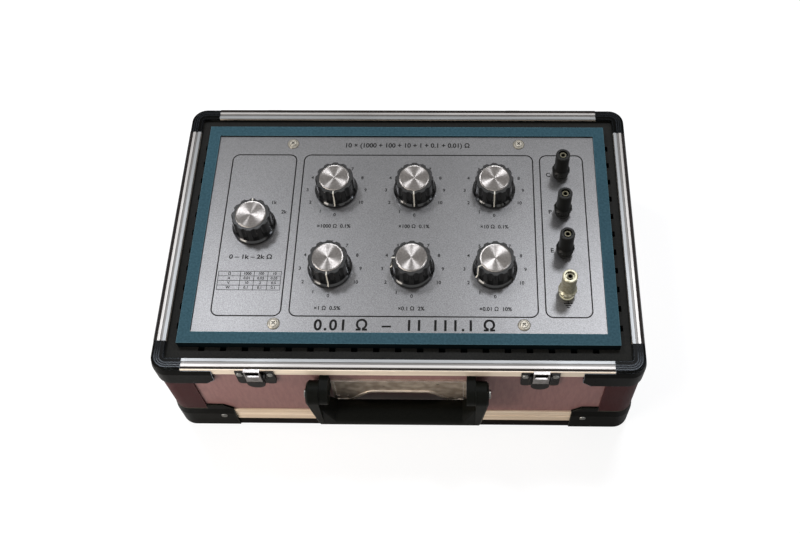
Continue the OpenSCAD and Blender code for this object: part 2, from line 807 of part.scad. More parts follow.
// Insulating collars of the binding posts, with a spigot through the panel
module post_bases() {
    for (i = POSTS) color(i == 4 ? "#c9c6ba" : "#181818")
    translate([post_at[i - 1][0], post_at[i - 1][1], 0]) {
        rotate_extrude($fn = 48)
            polygon([[stud_r + run, panel_under], [spigot_r, panel_under], [spigot_r, panel_z],
                [collar_r + 1, panel_z], [collar_r + 1, panel_z + 1], [collar_r, panel_z + 1.6],
                [collar_r, clamp_z - 0.5], [collar_r - 0.5, clamp_z], [stud_r + run, clamp_z]]);
        translate([0, 0, panel_under - insulator_t]) difference() {
            cylinder(h = insulator_t, r = spigot_r + 2, $fn = 48);
            translate([0, 0, -1]) cylinder(h = insulator_t + 2, r = stud_r + run);
        }
    }
}

stud_top = post_top - 1.2;
module post_studs() {
    color("#c8b98a") for (p = post_at) translate([p[0], p[1], 0]) difference() {
        translate([0, 0, panel_under - stud_tail])
            cylinder(h = stud_top - panel_under + stud_tail, r = stud_r);
        translate([0, 0, stud_top - socket_l]) cylinder(h = socket_l + 1, r = socket_r);
    }
}

module post_washer(at) {
    color("#c4c2ba") translate([at[0], at[1], clamp_z]) difference() {
        cylinder(h = washer_t, r = collar_r - 0.3, $fn = 48);
        translate([0, 0, -1]) cylinder(h = washer_t + 2, r = stud_r + run);
    }
}

// Screw cap: a flared grip ring at the foot, a plain barrel and a dished top
module post_cap(i) {
    at = post_at[i - 1];
    barrel = post_top - cap_z;
    color(i == 4 ? "#d8d6cc" : "#161616") translate([at[0], at[1], cap_z]) difference() {
        rotate_extrude($fn = 72)
            polygon([[stud_r + run, 0], [collar_r, 0], [flare_r - 0.8, 2.6], [flare_r, 3.4],
                [flare_r, 5.2], [flare_r - 0.8, 6.2], [post_cap_r + 0.2, 7.6], [post_cap_r, 9],
                [post_cap_r, barrel - 0.8], [post_cap_r - 0.8, barrel],
                [stud_r + 1.6, barrel], [stud_r + 1.2, barrel - 2.6], [stud_r + run, barrel - 2.6]]);
        for (a = [0:30:330]) rotate(a) translate([flare_r + 0.9, 0, -1])
            cylinder(h = 9, r = 1.5, $fn = 24);
    }
}

// Latch plate: pressed plate over the rail's flange, raised ears and two lugs for the lever's pin
module latch_block(x0, x1, out0, out1, z0, z1) {
    translate([x0, front_y - out1, z0]) cube([x1 - x0, out1 - out0, z1 - z0]);
}

module latch_pin_bar(half, out, z, r) {
    translate([-half, front_y - out, z]) rotate([0, 90, 0]) cylinder(h = 2 * half, r = r, $fn = 32);
}

latch_top = case_h - 1.6;
latch_corner = 4;

// Outline of the latch plate up to a height, with its lower corners rounded
module latch_outline(top) {
    half = latch_w / 2;
    foot = latch_top - latch_h;
    translate([-half, foot + latch_corner]) square([2 * half, top - foot - latch_corner]);
    translate([-half + latch_corner, foot]) square([2 * (half - latch_corner), latch_corner + 1]);
    for (s = [-1, 1]) translate([s * (half - latch_corner), foot + latch_corner])
        circle(latch_corner, $fn = 32);
}

module latch_layer(out, t) {
    translate([0, front_y - out, 0]) rotate([90, 0, 0]) linear_extrude(t) children();
}

module latch_plate() {
    latch_layer(0, profile_t) latch_outline(flange_z - gap);
    latch_layer(profile_t, sheet_t) latch_outline(latch_top);
    latch_layer(profile_t, ear_t) difference() {
        latch_outline(latch_top);
        translate([-lug_x - lug_t, 0]) square([2 * (lug_x + lug_t), case_h]);
    }
    for (s = [0, 1]) mirror([s, 0, 0])
        latch_block(lug_x, lug_x + lug_t, profile_t, lever_out + 1.6, lever_z - 4, lever_z + 2);
    latch_pin_bar(lug_x + 0.2, lever_out, lever_z, lever_pin_r);
}

module latch_plates() {
    color("#242422") difference() {
        for (s = [-1, 1]) translate([s * latch_x, 0, 0]) latch_plate();
        shank_holes();
    }
}

// Lever: two cheeks from its pin down past the claw's pin to a round-ended tab
module lever_cheek() {
    hull() {
        translate([0, -lever_out, lever_z]) rotate([0, 90, 0]) cylinder(h = sheet_t, r = barrel_r, $fn = 32);
        translate([0, -claw_out, claw_z]) rotate([0, 90, 0]) cylinder(h = sheet_t, r = barrel_r, $fn = 32);
    }
}

module latch_lever(s) {
    color("#1b1b1a") translate([s * latch_x, 0, 0]) {
        difference() {
            translate([0, front_y, 0]) for (m = [0, 1]) mirror([m, 0, 0])
                translate([cheek_x, 0, 0]) lever_cheek();
            latch_pin_bar(latch_w, lever_out, lever_z, lever_pin_r + run);
        }
        tab_top = claw_z - barrel_r - tab_gap;
        tab_half = cheek_x + sheet_t;
        translate([0, front_y - claw_out + 0.9, 0]) rotate([90, 0, 0]) linear_extrude(1.8) intersection() {
            translate([0, tab_top - tab_l + tab_half]) union() {
                circle(tab_half);
                translate([-tab_half, 0]) square([2 * tab_half, tab_l - tab_half]);
            }
            translate([-tab_half, tab_top - tab_l]) square([2 * tab_half, tab_l]);
        }
        for (m = [0, 1]) mirror([m, 0, 0]) translate([cheek_x, front_y - claw_out - 0.9, tab_top - 0.5])
            cube([sheet_t, 1.8, barrel_r + tab_gap + 0.5]);
        latch_pin_bar(cheek_x + 0.2, claw_out, claw_z, lever_pin_r);
    }
}

// Claw: a pressed loop with a wide window and a rolled foot round the lever's pin
claw_t = 1.4;
claw_bar = 1.3;
claw_sill = 10.5;
module latch_claw(s) {
    half = claw_w / 2;
    face = claw_out + barrel_r;
    top = claw_z + claw_h;
    color("#d2d2d0") translate([s * latch_x, 0, 0]) difference() {
        union() {
            latch_block(-half, half, face - claw_t, face, claw_z, top);
            latch_block(-half, half, face - 2 * claw_t, face, top - claw_bar, top);
            latch_block(-half, half, claw_out, face, claw_z - 0.6, claw_z + 0.6);
            latch_pin_bar(half, claw_out, claw_z, barrel_r);
        }
        latch_block(-half + claw_bar, half - claw_bar, 0, face + 1, claw_z + claw_sill, top - claw_bar);
        latch_pin_bar(latch_w, claw_out, claw_z, lever_pin_r + run);
    }
}

// Handle brackets: moulded end blocks with a boss for the pivot pin
module handle_bracket() {
    translate([bracket_in, 0, 0]) rotate([90, 0, 90]) linear_extrude(bracket_x - bracket_in) difference() {
        union() {
            polygon([[front_y, bracket_top - bracket_h], [front_y, bracket_top],
                [front_y - bracket_nose, bracket_top],
                [pivot_y, pivot_z + bracket_r], [pivot_y, pivot_z - bracket_r],
                [front_y - 4, bracket_top - bracket_h]]);
            translate([pivot_y, pivot_z]) circle(bracket_r);
        }
        translate([pivot_y, pivot_z]) circle(pin_r + run);
    }
}

module handle_brackets() {
    color("#1a1a18") difference() {
        for (m = [0, 1]) mirror([m, 0, 0]) handle_bracket();
        shank_holes();
    }
}

// Polished plate between the brackets, with a flat-topped arch below and a raised border
plate_half = bracket_in - gap;
plate_top = flange_z - plate_drop;
plate_low = plate_top - plate_h;
arch_half = plate_half - plate_foot;
arch_steps = 12;
arch_side = [for (i = [0:arch_steps]) [
    arch_half + (arch_flat - arch_half) * i / arch_steps,
    plate_low + arch_rise * (1 - cos(180 * i / arch_steps)) / 2]];
plate_shape = concat(
    [[plate_half, plate_top], [plate_half, plate_low]],
    arch_side,
    [for (i = [arch_steps:-1:0]) [-arch_side[i][0], arch_side[i][1]]],
    [[-plate_half, plate_low], [-plate_half, plate_top]]);

module handle_plate() {
    color("#cfcfcd") translate([0, front_y, 0]) rotate([90, 0, 0]) {
        linear_extrude(plate_t) polygon(plate_shape);
        translate([0, 0, plate_t]) linear_extrude(border_t) difference() {
            polygon(plate_shape);
            offset(delta = -2.7) polygon(plate_shape);
        }
    }
}

// Swinging handle: broad arms that lean in towards a fat moulded grip
grip_z = pivot_z - grip_drop;
arm_ease = 2;
gusset_l = 12;
gusset_h = 26;
gusset_w = 16;

module handle_disc(near, far, z, r) {
    translate([near, pivot_y, z]) rotate([0, 90, 0]) cylinder(h = far - near, r = r);
}

module handle_arm() {
    outer = handle_w / 2;
    hull() {
        handle_disc(arm_x, outer - arm_ease, pivot_z, arm_head_r);
        handle_disc(arm_x, outer, pivot_z, arm_head_r - arm_ease);
        handle_disc(arm_x, outer - arm_lean - arm_ease, grip_z, handle_r);
        handle_disc(arm_x, outer - arm_lean, grip_z, handle_r - arm_ease);
    }
    hull() {
        handle_disc(arm_x - gusset_l, arm_x + 1, grip_z, handle_r);
        translate([arm_x, pivot_y - gusset_w / 2, grip_z]) cube([1, gusset_w, gusset_h]);
    }
}

module handle_grip() {
    color("#161615") difference() {
        union() {
            handle_disc(-arm_x + gusset_l, arm_x - gusset_l, grip_z, handle_r);
            for (m = [0, 1]) mirror([m, 0, 0]) handle_arm();
        }
        translate([-handle_w / 2 - 1, pivot_y, pivot_z]) rotate([0, 90, 0])
            cylinder(h = handle_w + 2, r = pin_r + run);
    }
}

module handle_pins() {
    color("#bdbdb8") for (m = [0, 1]) mirror([m, 0, 0])
        translate([bracket_in + 1, pivot_y, pivot_z]) rotate([0, 90, 0]) {
            cylinder(h = handle_w / 2 - bracket_in - 1 + gap, r = pin_r);
            translate([0, 0, handle_w / 2 - bracket_in - 1 + gap]) cylinder(h = 1.6, r = pin_r + 1.5);
        }
}

// Lower halves of the lift-off hinges on the back wall, each with a pin for the lid's half
module hinge_leaf() {
    half = leaf_w / 2;
    translate([-half, back_y, leaf_top - leaf_h]) cube([leaf_w, leaf_t, leaf_h]);
    hull() {
        translate([-half, back_y + profile_t + gap, leaf_top - 6])
            cube([knuckle_l, leaf_t - profile_t - gap, 5]);
        translate([-half, hinge_y, hinge_z]) rotate([0, 90, 0])
            cylinder(h = knuckle_l, r = knuckle_r, $fn = 32);
    }
    translate([-half + 1, hinge_y, hinge_z]) rotate([0, 90, 0])
        cylinder(h = knuckle_l - 1 + hinge_pin_l, r = hinge_pin_r, $fn = 48);
}

module hinge_leaves() {
    color("#b4b4b0") difference() {
        for (s = [-1, 1]) translate([s * hinge_x, 0, 0]) hinge_leaf();
        shank_holes();
    }
}

base_tray();
front_panel();
back_panel();
end_panels();
corner_profiles();
rim_rails();
rim_seals();
rim_corners();
base_strips();
base_corners();
case_screws();
inner_frame();
panel_frame();
chassis();
instrument_panel();
panel_screws();
panel_nuts();
switches();
decade_resistors();
knob_body(range_at);  // range_knob
knob_cap(range_at);  // range_knob_cap
switch_shaft(range_at);  // range_shaft
for (i = DECADES) {
    knob_body(decade_at[i - 1]);
    knob_cap(decade_at[i - 1]);
    switch_shaft(decade_at[i - 1]);
}
post_bases();
post_studs();
for (i = POSTS) {
    post_cap(i);
    post_washer(post_at[i - 1]);
}
latch_plates();
for (i = SIDES) {
    latch_lever(2 * i - 3);
    latch_claw(2 * i - 3);
}
handle_brackets();
handle_plate();
handle_grip();
handle_pins();
hinge_leaves();
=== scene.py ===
import json
import math

import bmesh
import bpy
from mathutils import Matrix, Vector
from mathutils.bvhtree import BVHTree

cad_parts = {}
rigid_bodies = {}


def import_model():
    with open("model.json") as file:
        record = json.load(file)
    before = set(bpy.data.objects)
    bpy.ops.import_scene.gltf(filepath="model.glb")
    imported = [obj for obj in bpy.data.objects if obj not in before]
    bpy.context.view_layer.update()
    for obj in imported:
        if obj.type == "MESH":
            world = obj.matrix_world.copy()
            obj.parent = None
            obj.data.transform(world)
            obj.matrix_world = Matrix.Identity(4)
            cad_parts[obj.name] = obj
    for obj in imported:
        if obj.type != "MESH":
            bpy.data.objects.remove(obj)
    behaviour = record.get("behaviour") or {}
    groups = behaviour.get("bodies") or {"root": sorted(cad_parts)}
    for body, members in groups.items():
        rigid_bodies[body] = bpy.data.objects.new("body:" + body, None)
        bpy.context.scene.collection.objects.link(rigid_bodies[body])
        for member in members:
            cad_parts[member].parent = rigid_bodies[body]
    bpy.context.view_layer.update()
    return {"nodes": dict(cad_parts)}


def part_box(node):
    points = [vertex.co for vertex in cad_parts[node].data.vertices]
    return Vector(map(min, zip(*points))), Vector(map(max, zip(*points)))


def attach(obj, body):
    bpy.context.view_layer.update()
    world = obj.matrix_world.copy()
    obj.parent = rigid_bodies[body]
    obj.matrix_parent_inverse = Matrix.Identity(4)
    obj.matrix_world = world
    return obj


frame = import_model()
scene = bpy.context.scene
nodes = frame["nodes"]
mm = 0.001
print("frame loaded:", len(nodes), "CAD nodes")


# Small helpers

def tone(hexText):
    # sRGB hex to the linear colour that Blender's sockets take
    parts = [int(hexText[i:i + 2], 16) / 255 for i in (1, 3, 5)]
    linear = [c / 12.92 if c <= 0.04045 else ((c + 0.055) / 1.055) ** 2.4 for c in parts]
    return (*linear, 1.0)


def addNode(tree, kind, inputs=None, **settings):
    # One node with its settings; an input is a plain value or the socket that feeds it
    node = tree.nodes.new(kind)
    for key, value in settings.items():
        setattr(node, key, value)
    for key, value in (inputs or {}).items():
        socket = node.inputs[key]
        if isinstance(value, bpy.types.NodeSocket):
            tree.links.new(value, socket)
        else:
            socket.default_value = value
    return node


def mathNode(tree, operation, *values):
    return addNode(tree, "ShaderNodeMath", dict(enumerate(values)), operation=operation).outputs[0]


def rangeNode(tree, value, start, end, low=0.0, high=1.0):
    # Low where the value is at start, high where it is at end, and even between them
    return addNode(tree, "ShaderNodeMapRange", {
        "Value": value, "From Min": start, "From Max": end, "To Min": low, "To Max": high}).outputs[0]


def mixNode(tree, share, under, over, **settings):
    # The over colour laid on the under colour by a share
    return addNode(tree, "ShaderNodeMix", {
        0: share, 6: under, 7: over}, data_type="RGBA", **settings).outputs[2]


def middle(name):
    low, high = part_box(name)
    return (low + high) / 2


def dress(name, *materials):
    slots = nodes[name].material_slots
    for slot, material in zip(slots, materials):
        slot.material = material


def newPiece(name, meshes, material, body):
    # Joins finished meshes into one piece that rides on a body
    joined = bmesh.new()
    for mesh in meshes:
        joined.from_mesh(mesh)
        bpy.data.meshes.remove(mesh)
    data = bpy.data.meshes.new(name)
    joined.to_mesh(data)
    joined.free()
    data.materials.append(material)
    for face in data.polygons:
        face.material_index = 0
    piece = bpy.data.objects.new(name, data)
    scene.collection.objects.link(piece)
    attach(piece, body)


# Camera: fitted to points of the case, the panel and the knobs in the reference picture

cameraSetup = {
    "place": (0.0585, -0.4926, 0.9897),  # metres
    "turn": (31.849, 0.795, 0.763),      # degrees about X, Y and Z from looking straight down
    "lens": 45.62,                       # mm
    "sensor": 36.0,                      # mm wide
    "shift": (-0.0548, -0.0838),         # share of the picture's width
    "nearest": 0.02,                     # metres from which things are seen
}


def setCamera():
    camera = bpy.data.cameras.new("camera")
    camera.lens = cameraSetup["lens"]
    camera.sensor_width = cameraSetup["sensor"]
    camera.shift_x, camera.shift_y = cameraSetup["shift"]
    camera.clip_start = cameraSetup["nearest"]
    holder = bpy.data.objects.new("camera", camera)
    holder.location = cameraSetup["place"]
    holder.rotation_euler = [math.radians(a) for a in cameraSetup["turn"]]
    scene.collection.objects.link(holder)
    scene.camera = holder


setCamera()
print("camera set")


# Studio: a pale floor, a soft even surround, two overhead softboxes, one at the front left and
# two small ones at the sides that the glossy knobs mirror

studio = {
    "surround": 0.30,        # light that the surround gives to matt surfaces
    "softboxes": (           # name, place in metres, size in metres, watts, colour
        ("softboxLeft", (-0.57, 0.55, 1.64), 0.25, 8.5, "#F4F8FF"),
        ("softboxRight", (0.42, 0.55, 1.67), 0.25, 10.0, "#F4F8FF"),
        ("softboxFront", (-0.90, -0.70, 0.42), 0.5, 9.2, "#FFF6EC"),
        ("stripLeft", (-1.10, -0.20, 0.40), 0.25, 1.2, "#EAF1FF"),
        ("stripRight", (1.15, -0.20, 0.40), 0.25, 1.2, "#EAF1FF")),
    "floorTone": "#E4E4E2",
    "floorGlow": 0.83,       # light of its own that the floor shows to the camera
    "floorShade": "#8C8C8C",
    "floorSize": 9.0,        # metres
    "floorDrop": 0.1,        # mm below the case, so that the two faces don't flicker
}


def seenDirectly(tree):
    # 1 for camera, mirror and glass rays, which get the white background
    path = addNode(tree, "ShaderNodeLightPath").outputs
    seen = mathNode(tree, "MAXIMUM", path["Is Camera Ray"], path["Is Glossy Ray"])
    return mathNode(tree, "MAXIMUM", seen, path["Is Transmission Ray"])


def setWorld():
    world = bpy.data.worlds.new("surround")
    scene.world = world
    world.use_nodes = True
    tree = world.node_tree
    tree.nodes.clear()
    level = studio["surround"]
    plain = addNode(tree, "ShaderNodeBackground", {"Color": (level, level, level, 1.0), "Strength": 1.0})
    white = addNode(tree, "ShaderNodeBackground", {"Color": (1.0, 1.0, 1.0, 1.0), "Strength": 1.0})
    mixed = addNode(tree, "ShaderNodeMixShader", {
        0: seenDirectly(tree), 1: plain.outputs[0], 2: white.outputs[0]})
    addNode(tree, "ShaderNodeOutputWorld", {"Surface": mixed.outputs[0]})


def floorMaterial():
    # Seamless paper: matt; to the camera it is white and darker only where the case shades it
    material = bpy.data.materials.new("seamlessPaper")
    material.use_nodes = True
    tree = material.node_tree
    tree.nodes.clear()
    matt = addNode(tree, "ShaderNodeBsdfDiffuse", {"Color": tone(studio["floorTone"])})
    shaded = addNode(tree, "ShaderNodeBsdfDiffuse", {"Color": tone(studio["floorShade"])})
    glow = addNode(tree, "ShaderNodeEmission", {
        "Color": (1.0, 1.0, 1.0, 1.0), "Strength": studio["floorGlow"]})
    lit = addNode(tree, "ShaderNodeAddShader", {0: shaded.outputs[0], 1: glow.outputs[0]})
    path = addNode(tree, "ShaderNodeLightPath")
    mixed = addNode(tree, "ShaderNodeMixShader", {
        0: path.outputs["Is Camera Ray"], 1: matt.outputs[0], 2: lit.outputs[0]})
    addNode(tree, "ShaderNodeOutputMaterial", {"Surface": mixed.outputs[0]})
    return material


def addLamp(name, place, aim, size, power, colour):
    lamp = bpy.data.lights.new(name, "AREA")
    lamp.shape = "SQUARE"
    lamp.size = size
    lamp.energy = power
    lamp.color = tone(colour)[:3]
    holder = bpy.data.objects.new(name, lamp)
    holder.location = place
    holder.rotation_euler = (Vector(aim) - Vector(place)).to_track_quat("-Z", "Y").to_euler()
    scene.collection.objects.link(holder)


def setStudio():
    setWorld()
    half = studio["floorSize"] / 2
    data = bpy.data.meshes.new("floor")
    corners = [(-half, -half, 0), (half, -half, 0), (half, half, 0), (-half, half, 0)]
    data.from_pydata(corners, [], [(0, 1, 2, 3)])
    data.materials.append(floorMaterial())
    floor = bpy.data.objects.new("floor", data)
    floor.location.z = -studio["floorDrop"] * mm
    scene.collection.objects.link(floor)
    rim = (0, 0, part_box("rim_rails")[1].z)
    for label, place, size, power, colour in studio["softboxes"]:
        addLamp(label, place, rim, size, power, colour)
    scene.view_settings.view_transform = "Standard"


setStudio()
print("studio set")


# Finishes. Each one starts from the real material and the way its surface was made.
# light and dark are the two tones of its grain, grain is the size of that grain in mm,
# and stretch draws the grain out along an axis (a small number gives long marks).
# uneven is how far the tone drops in clouds that are cloud mm wide, relief and depth (mm)
# are the strength and height of the grain, edge is the tone of rubbed edges and of painted edge
# highlights over edgeWidth mm, and crevice is the tone of painted shade where walls stand closer than
# creviceReach mm.

grainRules = {
    "toneStops": (0.36, 0.64),    # noise values at which the dark and the light tone are reached
    "roughness": 0.6,
    "detail": 2.0,
    "cloud": 70.0,                # mm
    "cloudDetail": 3.0,
    "cloudRoughness": 0.55,
    "cloudStops": (0.3, 0.7),
}


def surface(name, look):
    material = bpy.data.materials.new(name)
    material.use_nodes = True
    tree = material.node_tree
    tree.nodes.clear()
    shader = addNode(tree, "ShaderNodeBsdfPrincipled", {
        "Metallic": look.get("metallic", 0.0),
        "Specular IOR Level": look.get("specular", 0.5),
        "Anisotropic": look.get("anisotropic", 0.0)})
    shader.name = "shader"
    place = addNode(tree, "ShaderNodeTexCoord").outputs["Object"]
    spread = addNode(tree, "ShaderNodeMapping", {
        "Vector": place, "Scale": look.get("stretch", (1.0, 1.0, 1.0))})
    grain = addNode(tree, "ShaderNodeTexNoise", {
        "Vector": spread.outputs[0], "Scale": 1 / (look["grain"] * mm),
        "Detail": look.get("detail", grainRules["detail"]), "Roughness": grainRules["roughness"]})
    tones = addNode(tree, "ShaderNodeValToRGB", {"Fac": grain.outputs["Fac"]})
    ends = zip(tones.color_ramp.elements, grainRules["toneStops"], (look["dark"], look["light"]))
    for stop, position, hexText in ends:
        stop.position = position
        stop.color = tone(hexText)
    cloud = addNode(tree, "ShaderNodeTexNoise", {
        "Vector": place, "Scale": 1 / (look.get("cloud", grainRules["cloud"]) * mm),
        "Detail": grainRules["cloudDetail"], "Roughness": grainRules["cloudRoughness"]}).outputs["Fac"]
    cloudStops = grainRules["cloudStops"]
    level = rangeNode(tree, cloud, *cloudStops, 1 - look["uneven"], 1.0)
    colour = addNode(tree, "ShaderNodeVectorMath", {
        0: tones.outputs["Color"], "Scale": level}, operation="SCALE").outputs[0]
    if "edge" in look:
        colour = edgeWear(tree, colour, look["edge"], look["edgeWidth"], look.get("edgeFade"))
    if "crevice" in look:
        colour = creviceDirt(tree, colour, look["crevice"], look["creviceReach"])
    tree.links.new(colour, shader.inputs["Base Color"])
    rough = rangeNode(tree, cloud, *cloudStops, *look["roughness"])
    tree.links.new(rough, shader.inputs["Roughness"])
    relief = addNode(tree, "ShaderNodeBump", {
        "Height": grain.outputs["Fac"], "Strength": look["relief"], "Distance": look["depth"] * mm})
    tree.links.new(relief.outputs[0], shader.inputs["Normal"])
    addNode(tree, "ShaderNodeOutputMaterial", {"Surface": shader.outputs[0]})
    return material


edgeAndRecessRules = {
    "turned": (0.965, 0.8),   # cosine between the two normals where wear starts and where it is full
    "share": 0.75,            # most that the edge tone covers
    "unfaded": 0.12,          # share of the edge tone that stays behind the place where it fades
    "shut": (0.92, 0.55),     # openness at which the painted recess shade starts and at which it is full
    "recessShadeShare": 0.95,
}


def edgeWear(tree, colour, edgeTone, width, fade=None):
    # Rubbed edges and painted edge highlights: where a rounded normal leaves the true one, the edge tone
    # shows.
    # fade gives the places in mm, back and front, between which the edge tone grows.
    rounded = addNode(tree, "ShaderNodeBevel", {"Radius": width * mm}, samples=4)
    true = addNode(tree, "ShaderNodeNewGeometry").outputs["True Normal"]
    same = addNode(tree, "ShaderNodeVectorMath", {
        0: rounded.outputs[0], 1: true}, operation="DOT_PRODUCT")
    share = rangeNode(tree, same.outputs["Value"], *edgeAndRecessRules["turned"], 0.0, edgeAndRecessRules["share"])
    if fade:
        place = tree.nodes["Texture Coordinate"].outputs["Object"]
        apart = addNode(tree, "ShaderNodeSeparateXYZ", {0: place})
        growth = rangeNode(
            tree, apart.outputs["Y"], fade[0] * mm, fade[1] * mm, edgeAndRecessRules["unfaded"], 1.0)
        share = mathNode(tree, "MULTIPLY", share, growth)
    return mixNode(tree, share, colour, tone(edgeTone))


def creviceDirt(tree, colour, recessShadeTone, reach):
    # Painted shade where the piece's own walls stand close, such as a screw's cross recess
    shut = addNode(tree, "ShaderNodeAmbientOcclusion", {"Distance": reach * mm}, samples=8)
    recessShadeAmount = rangeNode(tree, shut.outputs["AO"], *edgeAndRecessRules["shut"], 0.0, edgeAndRecessRules["recessShadeShare"])
    return mixNode(tree, recessShadeAmount, colour, tone(recessShadeTone))


